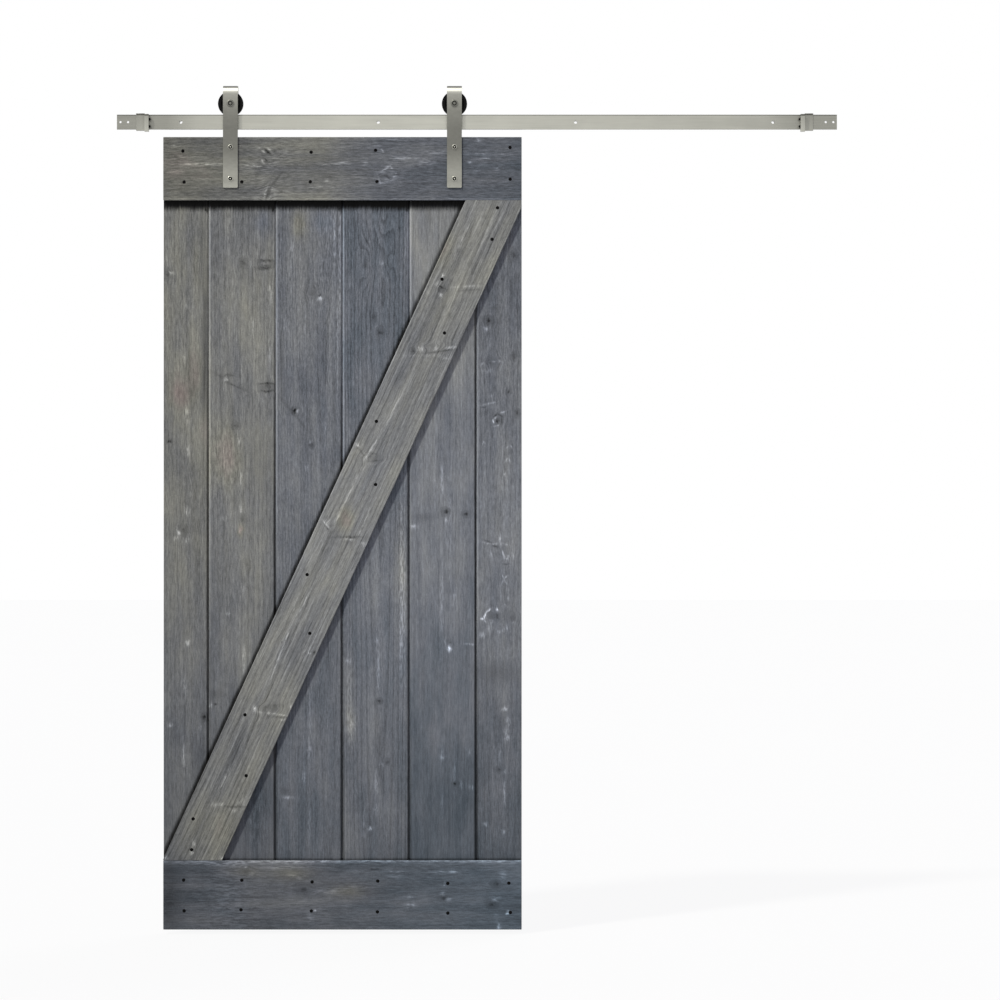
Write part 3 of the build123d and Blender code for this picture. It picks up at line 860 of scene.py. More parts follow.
            (918, 1188, 911, 1204, 2.2, 0.17), (919, 1192, 927, 1205, 2.2, 0.13),
            (926, 1204, 929, 1252, 2.4, 0.09), (910, 1222, 909, 1248, 2.4, 0.06),
            (918, 1210, 918, 1240, 3, -0.06), (881, 1270, 871, 1281, 2.5, 0.32),
            (871, 1281, 861, 1297, 2.5, 0.34), (854, 1297, 864, 1298, 2.5, 0.24),
            (864, 1301, 874, 1310, 2.5, 0.22), (896, 1269, 904, 1278, 2.8, 0.32),
            (917, 1256, 925, 1265, 2.5, 0.1), (899, 1327, 907, 1337, 4, 0.1),
            (925, 1315, 925, 1331, 2.4, 0.13),
        ],
        streaks=[
            (940, 380, 940, 440, 3, -0.09), (918, 1740, 918, 1800, 3.5, 0.12),
            (905, 1630, 905, 1690, 3, 0.07),
        ],
    ),
]
TOP_LOOK = dict(
    tone=[(0, 0.37), (0.15, 0.385), (0.45, 0.415), (0.6, 0.375), (1, 0.335)],
    warmth=[(0, 0.72), (0.45, 0.62), (0.6, 0.35), (1, 0.22)],
    pith=(0.02, 0.05, 0.01),
    busy=[(0, 1.05), (1, 0.95)],
    dashes=0.26,
    lines=0.025,
    rings=0.02,
    low_edge=[(0, 0.58), (1, 0.55)],
    knots=[
        (283, 41, 26, 12, 0.08), (277, 65, 20, 10, 0.06), (444, 108, 18, 9, 0.12),
        (603, 105, 30, 16, 0.05), (285, 150, 20, 26, 0.03),
    ],
    spots=[
        (274, 33, 14, 8, 0.04), (277, 65, 16, 8, 0.03), (325, 45, 40, 22, 0.03),
        (275, 85, 60, 60, 0.035), (425, 60, 40, 60, -0.02), (440, 116, 7, 5, 0.12),
        (545, 70, 9, 6, 0.08), (603, 105, 36, 18, 0.06), (707, 70, 20, 5, 0.09), (848, 8, 6, 5, 0.16),
        (826, 68, 6, 5, 0.14), (900, 88, 6, 8, 0.09), (845, 92, 9, 5, 0.07),
    ],
    strokes=[
        (257, 27, 274, 43, 2.5, 0.15), (281, 30, 294, 40, 2.5, 0.19), (274, 33, 288, 45, 3, -0.26),
        (271, 57, 284, 67, 2.5, -0.17), (264, 60, 271, 70, 2.5, 0.15), (278, 60, 288, 74, 2.5, 0.11),
        (322, 92, 284, 142, 3, -0.08), (281, 131, 271, 165, 2.5, 0.12), (294, 134, 286, 168, 2.5, 0.11),
        (285, 147, 277, 165, 3, -0.15), (560, 24, 584, 24, 2.5, 0.13), (587, 30, 594, 43, 2.5, 0.15),
        (587, 94, 611, 77, 2.8, 0.2), (611, 77, 619, 90, 2.5, 0.17), (628, 97, 617, 114, 2.5, 0.15),
        (614, 119, 584, 123, 2.5, 0.17), (584, 123, 578, 104, 2.5, 0.13),
        (597, 104, 611, 111, 3, -0.16),
    ],
    streaks=[
        (22, 25, 48, 25, 3.5, 0.12), (50, 75, 165, 75, 3.5, 0.16), (205, 79, 270, 79, 3.5, 0.15),
        (14, 95, 50, 95, 3, 0.12), (414, 75, 475, 75, 3.5, 0.14), (470, 72, 502, 72, 3.5, 0.14),
        (615, 59, 685, 59, 3, 0.14), (708, 43, 766, 43, 3, 0.12), (806, 45, 912, 45, 3, 0.09),
        (846, 58, 888, 58, 3, 0.12), (240, 156, 345, 156, 10, 0.05), (370, 137, 495, 137, 4, 0.07),
        (600, 8, 650, 8, 3, 0.09), (10, 105, 130, 105, 3, -0.07), (40, 55, 90, 55, 3, 0.08),
    ],
    warm_spots=[(45, 50, 30, 18, 0.1), (30, 95, 25, 10, 0.06)],
)
BOTTOM_LOOK = dict(
    tone=[(0, 0.30), (0.06, 0.31), (0.3, 0.345), (1, 0.335)],
    warmth=[(0, 0.2), (0.25, 0.35), (0.5, 0.25), (1, 0.0)],
    pith=(0.03, 0.05, 0.01),
    busy=[(0, 0.75), (1, 0.7)],
    lines=0.02,
    rings=0.012,
    # A painted highlight along the top edge, where the light catches its arris, paler towards the right
    high_edge=[(0, 0.48), (0.2, 0.5), (1, 0.54)],
    knots=[
        (226, 1978, 24, 12, 0.08), (378, 2026, 26, 16, 0.1), (757, 2049, 22, 10, 0.12),
        (896, 2012, 18, 14, 0.12), (886, 2066, 20, 14, 0.12),
    ],
    spots=[
        (223, 1962, 5, 4, 0.16), (236, 1982, 14, 8, 0.07), (345, 1989, 10, 4, 0.1),
        (361, 1993, 7, 5, 0.09), (440, 2031, 36, 6, 0.08), (408, 2085, 4, 4, 0.26),
        (398, 2102, 10, 14, 0.07), (664, 2045, 12, 4, 0.13), (660, 2068, 5, 8, 0.09),
        (673, 2068, 4, 7, 0.08), (752, 2037, 6, 5, 0.11), (769, 2052, 9, 6, 0.1),
        (915, 1990, 9, 15, 0.08), (897, 2052, 8, 6, 0.13), (897, 2100, 6, 8, 0.12),
        (903, 2127, 5, 8, 0.22), (926, 2088, 4, 5, 0.34), (757, 2010, 3, 5, 0.18),
        (568, 1972, 16, 3, -0.1), (12, 2050, 34, 100, -0.09), (180, 2050, 56, 90, 0.045),
    ],
    streaks=[
        (500, 1980, 565, 1980, 3, 0.08), (590, 1981, 645, 1981, 3, 0.13),
        (720, 1983, 755, 1983, 3, 0.12), (764, 1982, 800, 1982, 3, 0.17),
        (600, 1993, 645, 1993, 3, 0.1), (465, 2022, 550, 2022, 3, 0.08),
        (160, 2045, 300, 2045, 3, -0.06), (250, 1968, 400, 1968, 4, 0.06),
        # The last streak is a painted highlight along the top edge
        (120, 1960, 220, 1960, 5, 0.06), (-300, 1951, 1500, 1951, 6, 0.16),
    ],
    warm_spots=[(225, 1980, 40, 14, 0.2), (350, 1985, 60, 20, 0.3), (500, 2030, 60, 20, 0.35)],
)
BRACE_LOOK = dict(
    tone=[(0, 0.395), (0.25, 0.435), (0.5, 0.47), (1, 0.45)],
    warmth=[(0, 0.62), (0.5, 0.55), (1, 0.6)],
    pith=(0.02, 0.05, 0.01),
    busy=[(0, 0.85), (1, 1.0)],
    lines=0.07,
    rings=0.06,
    # A painted highlight along the upper edge, which faces the light, a little darker at its lower end
    high_edge=[(0, 0.46), (0.3, 0.52), (0.55, 0.58), (0.8, 0.56), (1, 0.52)],
    high_reach=3.2 * MM,
    knots=[
        (750, 408, 12, 10, 0.12), (672, 575, 10, 9, 0.14), (725, 562, 34, 9, 0.05),
        (565, 865, 28, 12, 0.06), (452, 1046, 14, 12, 0.1), (318, 1362, 12, 12, 0.1),
        (285, 1540, 32, 12, 0.06), (405, 1388, 8, 7, 0.15),
    ],
    spots=[
        (753, 372, 4, 5, 0.2), (747, 425, 5, 6, 0.22), (737, 396, 6, 6, 0.12), (692, 570, 11, 8, 0.13),
        (735, 568, 5, 6, 0.16), (775, 567, 13, 4, 0.16), (343, 1535, 4, 7, 0.14),
        (720, 588, 52, 4, 0.06), (765, 595, 15, 4, 0.11), (545, 862, 4, 9, 0.12),
        (522, 828, 5, 5, 0.22), (440, 1040, 10, 9, 0.12), (500, 1084, 11, 4, 0.17),
        (500, 1077, 36, 3, -0.12), (540, 1096, 8, 6, 0.14), (390, 1384, 12, 10, 0.07),
        (247, 1538, 5, 9, 0.2), (285, 1552, 4, 4, 0.2), (140, 1797, 9, 8, 0.12),
        (158, 1797, 6, 6, 0.18), (195, 1803, 36, 3, -0.09), (190, 1813, 9, 6, 0.12),
        (215, 1788, 24, 10, 0.05), (82, 1902, 4, 8, 0.2), (77, 1927, 5, 5, 0.22), (6, 1942, 6, 6, 0.22),
        (160, 1943, 6, 6, 0.2),
    ],
    streaks=[
        (418, 1180, 370, 1280, 3, 0.06), (345, 1328, 283, 1455, 3, 0.05),
        (525, 905, 480, 1000, 3, 0.13), (590, 780, 555, 850, 3, 0.05), (825, 240, 770, 350, 4, 0.09),
        (735, 500, 690, 595, 3, 0.04), (182, 1690, 150, 1760, 3.5, 0.15),
        (475, 1000, 462, 1050, 4, 0.1), (640, 690, 590, 790, 3, 0.09), (440, 1290, 380, 1400, 3, 0.1),
        (560, 1000, 500, 1120, 3, 0.09), (700, 620, 640, 740, 3, -0.08),
    ],
    strokes=[
        (772, 405, 856, 400, 3, 0.1), (799, 414, 856, 410, 2.5, -0.08),
        (739, 398, 761, 410, 2.5, -0.15), (685, 562, 698, 574, 2.5, 0.15),
        (703, 583, 742, 578, 2.5, -0.1), (742, 578, 788, 571, 2.5, -0.11),
        (757, 544, 721, 613, 2, -0.1), (698, 513, 686, 562, 2, -0.07), (577, 813, 544, 864, 2.2, 0.16),
        (572, 811, 539, 860, 2, -0.09), (523, 836, 544, 860, 2.5, -0.1),
        (553, 850, 574, 853, 2.5, -0.08), (557, 873, 584, 870, 2.5, -0.08),
        (429, 1031, 446, 1052, 2.5, 0.16), (431, 1040, 447, 1060, 2.5, -0.12),
        (393, 1220, 374, 1270, 2, 0.11), (374, 1270, 359, 1287, 2, 0.14),
        (386, 1220, 363, 1266, 2, -0.12), (397, 1228, 379, 1277, 2, -0.1),
        (359, 1243, 347, 1285, 2, 0.12), (340, 1328, 326, 1362, 2.2, 0.11),
        (346, 1324, 329, 1366, 2, -0.12), (322, 1373, 291, 1454, 2.2, 0.17),
        (316, 1377, 292, 1440, 2, -0.13), (389, 1389, 401, 1391, 2.5, 0.15),
        (247, 1547, 286, 1551, 2.5, 0.06), (286, 1551, 336, 1558, 2.5, 0.11),
        (289, 1561, 336, 1563, 2.5, -0.08), (312, 1570, 328, 1569, 2.5, 0.11),
        (262, 1533, 325, 1530, 6, -0.05),
    ],
    warm_spots=[(160, 1870, 60, 60, 0.1), (490, 1030, 20, 30, 0.3), (750, 300, 30, 60, 0.2)],
)


# Painted shade on the planks next to the boards: how far it is solid, how far it reaches and how dark it
# is
PAINTED_SHADE_UNDER_TOP = (6 * MM, 33 * MM, 0.44)
PAINTED_SHADE_OVER_BOTTOM = (0, 8 * MM, 0.12)
PAINTED_SHADE_OVER_BRACE = (3 * MM, 14 * MM, 0.27)

# A painted shadow in a joint's top end, where the top board's shadow reaches into the groove: right of the
# joint, below the top board, half width, half height, amount
JOINT_TOP_PAINTED_SHADOW = (-5, 24, 4, 8, -0.24)


def plank_cuts():
    """Where the planks' sides are, from left to right."""
    edge = (leaf_right - leaf_left - FULL_PLANKS * PLANK_FACE) / 2
    inner = [leaf_left + edge + step * PLANK_FACE for step in range(FULL_PLANKS + 1)]
    return [leaf_left, *inner, leaf_right]


def make_planks():
    cuts = plank_cuts()
    brace_middle, brace_along = brace_axis()
    brace_away = ROOM.cross(brace_along)
    if brace_away.z < 0:
        brace_away = -brace_away
    # Painted shade under the top board, over the bottom board and beside the brace's upper edge
    corners = [
        (Vector((0, 0, field_top)), UP, *PAINTED_SHADE_UNDER_TOP),
        (Vector((0, 0, field_bottom)), UP, *PAINTED_SHADE_OVER_BOTTOM),
        (brace_middle + brace_away * (BRACE_WIDTH / 2), brace_away, *PAINTED_SHADE_OVER_BRACE),
    ]
    for number, (left, right) in enumerate(zip(cuts, cuts[1:]), start=1):
        grooved = number > 1
        tongued = number < len(cuts) - 1
        build = bmesh.new()
        outline = [Vector((x, y, leaf_bottom)) for x, y in plank_section(left, right, grooved, tongued)]
        extruded(build, outline, UP * (leaf_top - leaf_bottom))
        middle = Vector(((left + right) / 2, plank_front, (leaf_top + leaf_bottom) / 2))
        board = Board(middle, DOWN, leaf_top - leaf_bottom, right - left)
        look = dict(PLANK_LOOKS[number - 1], corners=corners, high_reach=JOINT_REACH)
        # A painted shadow in the top end of the joint on the plank's right
        if tongued:
            beside, below, *shadow_spot = JOINT_TOP_PAINTED_SHADOW
            across = (right - leaf_left) / MM + beside
            down = (leaf_top - field_top) / MM + below
            look["spots"] = look["spots"] + [(across, down, *shadow_spot)]
        material = pine(f"stained_plank_{number}", board, look, seed=10.0 * number)
        name = f"plank_{number}"
        new_piece(f"pine_{name}", build, material, "door", "stained_pine", name)


def make_cross_board(node, look, seed):
    low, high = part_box(node)
    build = bmesh.new()
    block(build, low, high)
    ease(build, build.edges, ARRIS)
    middle = (low + high) / 2
    middle.y = low.y
    board = Board(middle, RIGHT, high.x - low.x, high.z - low.z)
    material = pine(f"stained_{node}", board, look, seed)
    new_piece(f"pine_{node}", build, material, "door", "stained_pine", node)


def make_brace():
    """A long board laid along the diagonal and cut off by the field's four sides."""
    middle, along = brace_axis()
    low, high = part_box("diagonal_brace")
    board = Board(middle, along, (high - low).length, BRACE_WIDTH)
    build = bmesh.new()
    thick = high.y - low.y
    turn = Matrix((along, board.across, ROOM)).transposed().to_4x4()
    size = Matrix.Diagonal((2 * board.length, BRACE_WIDTH, thick, 1))
    centre = Vector((middle.x, (low.y + high.y) / 2, middle.z))
    bmesh.ops.create_cube(build, size=1, matrix=Matrix.Translation(centre) @ turn @ size)
    for corner, away in ((low, -RIGHT), (low, DOWN), (high, RIGHT), (high, UP)):
        everything = build.verts[:] + build.edges[:] + build.faces[:]
        cut = bmesh.ops.bisect_plane(
            build, geom=everything, plane_co=corner, plane_no=away, clear_outer=True
        )
        edges = [part for part in cut["geom_cut"] if isinstance(part, bmesh.types.BMEdge)]
        bmesh.ops.edgenet_fill(build, edges=edges)
    ease(build, sharp_edges(build), ARRIS)
    material = pine("stained_brace", board, BRACE_LOOK, seed=71.0)
    new_piece("pine_diagonal_brace", build, material, "door", "stained_pine", "diagonal_brace")


# Nails, in millimetres right of and below the leaf's top left corner
TOP_NAILS = [
    (53, 38), (56, 121), (212, 121), (398, 41), (396, 120), (572, 36), (575, 120), (934, 28), (934, 114),
]
BOTTOM_NAILS = [
    (55, 2001), (56, 2083), (212, 2001), (209, 2081), (401, 2005), (399, 2084),
    (577, 2003), (577, 2086), (766, 2010), (766, 2089), (931, 2009), (934, 2088),
]
BRACE_NAILS = [
    (900, 191), (885, 275), (751, 383), (757, 528), (574, 765), (572, 936),
    (387, 1178), (395, 1336), (220, 1556), (223, 1719), (81, 1836), (76, 1919),
]
NAIL_RADIUS = 5.5 * MM
NAIL_CROWN = 3.8 * MM
NAIL_HEIGHT = 1.2 * MM
NAIL_SIDES = 14
NAIL_TILT = radians(4)
NAIL_TURN = 2.4  # radians from one nail's tilt to the next one's


def make_nails(name, places, material):
    """Low hammered heads, each tilted a little its own way."""
    build = bmesh.new()
    face_out = ROOM.to_track_quat("Z", "Y").to_matrix().to_4x4()
    for number, (across, down) in enumerate(places):
        seat = Vector((leaf_left + across * MM, board_front, leaf_top - down * MM))
        way = Matrix.Rotation(number * NAIL_TURN, 4, "Z")
        tilt = way.inverted() @ (Matrix.Rotation(NAIL_TILT, 4, "X") @ way)
        bmesh.ops.create_cone(
            build,
            cap_ends=True,
            segments=NAIL_SIDES,
            radius1=NAIL_RADIUS,
            radius2=NAIL_CROWN,
            depth=NAIL_HEIGHT,
            matrix=Matrix.Translation(seat) @ face_out @ tilt,
        )
    ease(build, sharp_edges(build), width=0.4 * MM)
    smooth_rounds(build)
    new_piece(name, build, material, "door", "black_iron")


# Track

# A painted reflection along the rail: paler in the middle, darker towards both ends
RAIL_PAINTED_REFLECTION = [
    (0, 0.57), (0.07, 0.58), (0.11, 0.68), (0.3, 0.72), (0.65, 0.71), (0.9, 0.66), (0.95, 0.58), (1, 0.57),
]
WALL_SPACERS = 4


def make_track():
    rail_low, rail_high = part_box("track_rail")
    # The rail's top edge gets painted shade
    edges = [rail_high.z]
    finish = brushed_nickel("brushed_rail_painted_reflection", RIGHT, rail_low.x, rail_high.x, RAIL_PAINTED_REFLECTION, 3.0, edges)
    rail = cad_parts["track_rail"]
    rail.data.materials.clear()
    rail.data.materials.append(finish)
    for number in range(1, WALL_SPACERS + 1):
        low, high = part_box(f"wall_spacer_{number}")
        centre = (low + high) / 2
        origin = Vector((centre.x, high.y, centre.z))
        radius = (high.x - low.x) / 2
        length = high.y - low.y
        build = bmesh.new()
        profile = [(WALL_HOLE, 0), (radius, 0), (radius, length), (WALL_HOLE, length)]
        turned(build, profile, origin, ROOM, closed=True)
        ease(build, sharp_edges(build), width=0.6 * MM)
        smooth_rounds(build)
        name = f"wall_spacer_{number}"
        new_piece(f"nickel_{name}", build, finish, "rail", "satin_nickel", name)


STOP_BAND = 5 * MM  # how far the painted shade on a stop's top edge goes down
STOP_SPAN = (-30 * MM, 30 * MM)  # the heights that a stop's tones go between
COLLAR_TONES = [(0, 0.64), (1, 0.54)]
BAR_TONES = [(0, 0.7), (1, 0.58)]
FACING = 0.9  # the least share of a normal along the axis that its face looks along


def make_stop(side, inward, finish, bar_finish):
    """A collar folded round the rail, with an upright bar beside it."""
    low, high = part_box(f"{side}_end_stop")
    rail_low, rail_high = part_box("track_rail")
    outer_x = low.x if inward > 0 else high.x
    inner_x = high.x if inward > 0 else low.x
    collar_x = outer_x + inward * COLLAR_WIDTH
    wall = Vector((0, COLLAR_WALL + COLLAR_PLAY, COLLAR_WALL + COLLAR_PLAY))
    build = bmesh.new()
    collar_low = Vector((min(outer_x, collar_x), rail_low.y, rail_low.z)) - wall
    collar_high = Vector((max(outer_x, collar_x), rail_high.y, rail_high.z)) + wall
    block(build, collar_low, collar_high)
    ends = [face for face in build.faces if abs(face.normal.x) > FACING]
    bmesh.ops.delete(build, geom=ends, context="FACES_ONLY")
    bmesh.ops.recalc_face_normals(build, faces=build.faces)
    bmesh.ops.solidify(build, geom=build.faces[:], thickness=COLLAR_WALL)
    bar_low = Vector((min(inner_x, collar_x), low.y, low.z))
    bar_high = Vector((max(inner_x, collar_x), rail_low.y - COLLAR_PLAY, bar_top(side)))
    for vert in block(build, bar_low, bar_high):
        for face in vert.link_faces:
            face.material_index = 1
    ease(build, sharp_edges(build), width=0.9 * MM)
    name = f"{side}_end_stop"
    new_piece(f"nickel_{name}", build, finish, "rail", "satin_nickel", name, inside=bar_finish)


def bar_top(side):
    """The bar is as far above the middle of its buffers as below it."""
    buffer_low, buffer_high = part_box(f"{side}_stop_buffers")
    return buffer_low.z + buffer_high.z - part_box(f"{side}_end_stop")[0].z


def make_buffers(side, inward, rubber):
    low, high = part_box(f"{side}_stop_buffers")
    radius = (high.y - low.y) / 2
    length = high.x - low.x
    start_x = low.x if inward > 0 else high.x
    build = bmesh.new()
    for z in (low.z + radius, high.z - radius):
        origin = Vector((start_x, (low.y + high.y) / 2, z))
        rim = rounded_rim(radius, length, rounding=1.5 * MM)
        profile = [(0, 0), (radius, 0), *rim, (0, length)]
        turned(build, profile, origin, RIGHT * inward, steps=32)
    smooth_rounds(build)
    new_piece(f"rubber_{side}_buffers", build, rubber, "rail", "black_rubber", f"{side}_stop_buffers")


# Hangers and wheels

# Painted light down the strap from its top: painted shade on the top, a painted highlight on the bend,
# then a painted reflection that is darker in the middle and paler towards the bottom
STRAP_PAINTED_SHEEN = [
    (0, 0.4), (0.014, 0.44), (0.028, 0.9), (0.05, 0.9), (0.064, 0.7), (0.085, 0.6), (0.13, 0.57),
    (0.25, 0.5), (0.42, 0.46), (0.62, 0.46), (0.72, 0.52), (0.86, 0.6), (0.93, 0.58), (1, 0.64),
]


def make_strap(side, finish):
    """A ribbon up the front, over the wheel and down behind, given its thickness inwards."""
    low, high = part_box(f"{side}_hanger_strap")
    wheel_low, wheel_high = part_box(f"{side}_wheel")
    axle_z = (wheel_low.z + wheel_high.z) / 2
    bend_z = high.z - STRAP_BEND
    build = bmesh.new()
    start = [build.verts.new((x, low.y, low.z)) for x in (low.x, high.x)]
    edges = [build.edges.new(start)]
    edges = pulled_edges(build, edges, UP * (bend_z - low.z))
    edges = bent_over(build, edges, Vector((low.x, low.y + STRAP_BEND, bend_z)))
    edges = pulled_edges(build, edges, WALL * (high.y - low.y - 2 * STRAP_BEND))
    edges = bent_over(build, edges, Vector((low.x, high.y - STRAP_BEND, bend_z)))
    edges = pulled_edges(build, edges, DOWN * (bend_z - (axle_z - REAR_LEG_DROP)))
    bmesh.ops.remove_doubles(build, verts=build.verts, dist=SAME_PLACE)
    bmesh.ops.recalc_face_normals(build, faces=build.faces)
    corners = [vert for vert in build.verts if len(vert.link_edges) == 2]
    bmesh.ops.bevel(
        build, geom=corners, offset=STRAP_CORNER, affect="VERTICES", segments=5, profile=0.5, material=-1
    )
    front = min(build.faces, key=lambda face: face.calc_center_median().y)
    if front.normal.y > 0:
        bmesh.ops.reverse_faces(build, faces=build.faces)
    bmesh.ops.solidify(build, geom=build.faces[:], thickness=STRAP_THICK)
    ease(build, sharp_edges(build), width=0.6 * MM)
    smooth_rounds(build)
    new_piece(f"nickel_{side}_strap", build, finish, "door", "satin_nickel", f"{side}_hanger_strap")


def bent_over(build, edges, centre):
    """A quarter turn of the ribbon about a level axis, and its new end's edges."""
    verts = list({vert for edge in edges for vert in edge.verts})
    made = bmesh.ops.spin(
        build, geom=edges + verts, cent=centre, axis=-RIGHT, angle=pi / 2, steps=10, use_merge=False
    )
    return [part for part in made["geom_last"] if isinstance(part, bmesh.types.BMEdge)]


def make_wheel(side, nylon):
    low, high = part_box(f"{side}_wheel")
    centre = (low + high) / 2
    radius = (high.x - low.x) / 2
    hub_half = (high.y - low.y) / 2
    rim_half = 8 * MM
    bore = 6.05 * MM
    hub = 11.05 * MM
    tread = radius - 5 * MM
    dish = tread - 4 * MM
    dish_half = rim_half - 3 * MM
    groove_half = 3.5 * MM
    half = [(bore, hub_half), (hub, hub_half), (hub, dish_half), (dish, dish_half), (dish, rim_half)]
    half += [(radius, rim_half), (radius, groove_half), (tread, groove_half)]
    profile = half + [(far, -height) for far, height in reversed(half)]
    build = bmesh.new()
    turned(build, profile, centre, ROOM, closed=True, steps=96)
    ease(build, sharp_edges(build), width=0.8 * MM, segments=3)
    smooth_rounds(build)
    new_piece(f"nylon_{side}_wheel", build, nylon, f"{side}_wheel", "black_nylon", f"{side}_wheel")


AXLE_HEAD = dict(
    rounding=1.5 * MM, shank=AXLE_SHANK, across_flats=11 * MM, depth=1.6 * MM, pin=3.4 * MM
)
STRAP_BOLT = dict(
    rounding=1 * MM, shank=4 * MM, reach=20 * MM, across_flats=9 * MM, depth=2 * MM, pin=1.7 * MM
)
SLEEVE_NUT = dict(
    rounding=1 * MM, shank=5 * MM, reach=6 * MM, across_flats=6 * MM, depth=1.5 * MM, pin=1.2 * MM
)


def make_head(prefix, name, seat_y, axis, finish, inside, slot, **shape):
    """A socket head in a CAD node's place, standing out along an axis from the depth it is seated at."""
    low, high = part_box(name)
    centre = (low + high) / 2
    seat = Vector((centre.x, seat_y, centre.z))
    radius = (high.x - low.x) / 2
    height = seat_y - low.y if axis == ROOM else high.y - seat_y
    build = bmesh.new()
    socket_head(build, seat, axis, radius, height, **shape)
    smooth_rounds(build)
    new_piece(f"{prefix}_{name}", build, finish, "door", slot, name, inside=inside)


def make_axle(side, finish, inside):
    name = f"{side}_axle_bolt"
    seat_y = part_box(f"{side}_hanger_strap")[0].y
    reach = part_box(name)[1].y - seat_y
    make_head("nickel", name, seat_y, ROOM, finish, inside, "satin_nickel", reach=reach, **AXLE_HEAD)


def make_strap_bolt(side, level, finish, inside):
    seat_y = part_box(f"{side}_hanger_strap")[0].y
    make_head("nickel", f"{side}_{level}_bolt", seat_y, ROOM, finish, inside, "satin_nickel", **STRAP_BOLT)


def make_sleeve_nut(side, level, iron):
    """A low round head on the back of the leaf, on a sleeve that is sunk in the planks."""
    name = f"{side}_{level}_sleeve_nut"
    seat_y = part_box(name)[0].y
    make_head("iron", name, seat_y, WALL, iron, iron, "black_iron", **SLEEVE_NUT)


def make_axle_nut(side, iron):
    """A hexagon nut, with the end of the axle bolt in its hole."""
    low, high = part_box(f"{side}_axle_nut")
    centre = (low + high) / 2
    flats = min(high.x - low.x, high.z - low.z)
    corner_turn = pi / 6 if high.x - low.x > high.z - low.z else 0
    turn = WALL.to_track_quat("Z", "Y").to_matrix().to_4x4() @ Matrix.Rotation(corner_turn, 4, "Z")
    place = Matrix.Translation((centre.x, low.y, centre.z)) @ turn
    build = bmesh.new()
    hexagon(build, flats, place, cuts=3)
    bmesh.ops.create_circle(build, segments=24, radius=AXLE_SHANK + NUT_PLAY, matrix=place)
    bmesh.ops.bridge_loops(build, edges=build.edges)
    pulled = bmesh.ops.extrude_face_region(build, geom=build.faces)["geom"]
    moved = [part for part in pulled if isinstance(part, bmesh.types.BMVert)]
    bmesh.ops.translate(build, verts=moved, vec=WALL * (high.y - low.y))
    ease(build, sharp_edges(build), width=0.5 * MM)
    smooth_rounds(build)
    new_piece(f"iron_{side}_axle_nut", build, iron, "door", "black_iron", f"{side}_axle_nut")


make_planks()
make_cross_board("top_board", TOP_LOOK, seed=81.0)
make_cross_board("bottom_board", BOTTOM_LOOK, seed=92.0)
make_brace()
nail_iron = black_iron("black_iron")
make_nails("top_board_nails", TOP_NAILS, nail_iron)
make_nails("bottom_board_nails", BOTTOM_NAILS, nail_iron)
make_nails("brace_nails", BRACE_NAILS, nail_iron)

make_track()
strap_low, strap_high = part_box("left_hanger_strap")
strap_finish = brushed_nickel("brushed_strap_painted_sheen", DOWN, -strap_high.z, -strap_low.z, STRAP_PAINTED_SHEEN, 6.0)
bolt_finish = even_nickel("turned_bolt", tone=0.8, seed=9.0)
axle_finish = even_nickel("turned_axle", tone=0.46, seed=9.0)
socket_painted_shade = even_nickel("grey_socket_painted_shade", tone=0.2, seed=15.0)
deep_socket_painted_shade = even_nickel("dark_socket_painted_shade", tone=0.08, seed=15.0)
# The stops' top edges get painted shade; their tones are darker towards the top
collar_edge = [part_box("left_end_stop")[1].z]
bar_edge = [bar_top("left")]
collar_finish = brushed_nickel(
    "brushed_collar", UP, *STOP_SPAN, COLLAR_TONES, 12.0, collar_edge, STOP_BAND, painted_top_shade=0.2
)
bar_finish = brushed_nickel("brushed_bar", UP, *STOP_SPAN, BAR_TONES, 13.0, bar_edge, STOP_BAND, painted_top_shade=0.22)
wheel_nylon = black_nylon("black_nylon")
buffer_rubber = black_rubber("black_rubber")
for side, inward in (("left", 1), ("right", -1)):
    make_stop(side, inward, collar_finish, bar_finish)
    make_buffers(side, inward, buffer_rubber)
    make_strap(side, strap_finish)
    make_wheel(side, wheel_nylon)
    make_axle(side, axle_finish, socket_painted_shade)
    make_axle_nut(side, nail_iron)
    for level in ("upper", "lower"):
        make_strap_bolt(side, level, bolt_finish, deep_socket_painted_shade)
        make_sleeve_nut(side, level, nail_iron)

# Floor, light and camera

FLOOR_GAP = 12 * MM
FLOOR_WHITE = 0.9  # share of the floor's look that is plain white to the camera
SUN_TO = Vector((-0.46, -0.59, 0.66))
SUN_STRENGTH = 2.7
BACK_SUN_TO = Vector((0.45, 0.80, 0.40))
BACK_SUN_STRENGTH = 1.0
FILL = 0.34
WHITE = (1, 1, 1, 1)
SKY = (0.92, 0.92, 1.18, 1)  # the colour of the fill light
FLOOR_HALF = 40.0


def seen_directly(wiring):
    """1 for rays that show the background: from the camera, in a reflection or through glass."""
    path = wiring.tree.nodes.new("ShaderNodeLightPath")
    kinds = [Wire(wiring, path.outputs[f"Is {kind} Ray"]) for kind in ("Camera", "Glossy", "Transmission")]
    return wiring.math("MAXIMUM", wiring.math("MAXIMUM", kinds[0], kinds[1]), kinds[2])


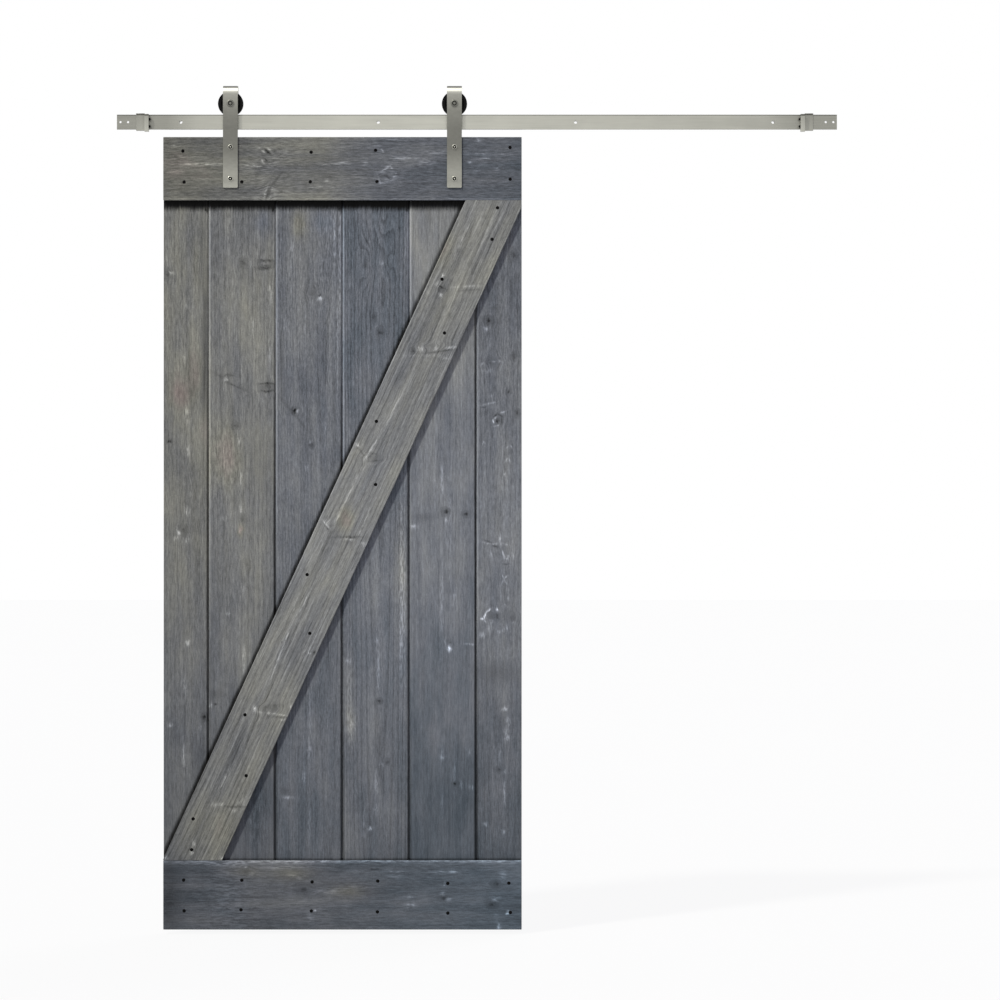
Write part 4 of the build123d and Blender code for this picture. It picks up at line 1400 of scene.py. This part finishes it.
def make_floor():
    material, shader, paint = new_finish("pale_floor", roughness=0.9)
    place = paint.node("ShaderNodeTexCoord", output="Object")
    cloud = paint.noise(place, even(0.6), seed=3.0)
    white = paint.mixed(cloud, (0.68, 0.68, 0.68, 1), (0.72, 0.72, 0.72, 1))
    paint.feed(shader.inputs["Base Color"], white)
    glow = paint.node("ShaderNodeEmission", {"Color": WHITE, "Strength": 1.0})
    matt = Wire(paint, shader.outputs[0])
    surface = paint.node("ShaderNodeMixShader", {0: seen_directly(paint) * FLOOR_WHITE, 1: matt, 2: glow})
    paint.feed(material.node_tree.nodes["Material Output"].inputs["Surface"], surface)
    build = bmesh.new()
    bmesh.ops.create_grid(build, x_segments=1, y_segments=1, size=FLOOR_HALF)
    bmesh.ops.translate(build, verts=build.verts, vec=(leaf_middle, 0, leaf_bottom - FLOOR_GAP))
    mesh = bpy.data.meshes.new("floor")
    build.to_mesh(mesh)
    build.free()
    mesh.materials.append(material)
    floor = bpy.data.objects.new("floor", mesh)
    bpy.context.scene.collection.objects.link(floor)


def make_sun(name, towards, strength, angle, colour):
    data = bpy.data.lights.new(name, "SUN")
    data.energy = strength
    data.angle = angle
    data.color = colour
    sun = bpy.data.objects.new(name, data)
    sun.rotation_euler = towards.to_track_quat("Z", "Y").to_euler()
    bpy.context.scene.collection.objects.link(sun)


def make_world():
    world = bpy.data.worlds.new("studio")
    world.use_nodes = True
    sky = Wiring(world.node_tree)
    seen = seen_directly(sky)
    background = world.node_tree.nodes["Background"]
    sky.feed(background.inputs["Color"], sky.mixed(seen, SKY, WHITE))
    sky.feed(background.inputs["Strength"], seen * (1 - FILL) + FILL)
    bpy.context.scene.world = world


PHOTO_PIXEL = 2.6923 * MM  # one pixel of the photograph, on the face of the boards
PHOTO_CENTRE = Vector((328.2 * MM, 0, -1018.3 * MM))
PHOTO_SIDE = 1000
CAMERA_FAR = 12.0
CLIP_END = 100
SENSOR = 36.0


def make_camera():
    data = bpy.data.cameras.new("camera")
    data.sensor_width = SENSOR
    data.lens = SENSOR * (CAMERA_FAR + board_front) / (PHOTO_PIXEL * PHOTO_SIDE)
    data.clip_end = CLIP_END
    camera = bpy.data.objects.new("camera", data)
    camera.location = PHOTO_CENTRE + ROOM * CAMERA_FAR
    camera.rotation_euler = (pi / 2, 0, 0)
    bpy.context.scene.collection.objects.link(camera)
    bpy.context.scene.camera = camera


make_floor()
make_sun("window_sun", SUN_TO, SUN_STRENGTH, angle=radians(6), colour=(1.02, 1.0, 0.93))
make_sun("back_sun", BACK_SUN_TO, BACK_SUN_STRENGTH, angle=radians(30), colour=(1.0, 1.0, 1.0))
make_world()
make_camera()
bpy.context.scene.view_settings.view_transform = "Standard"
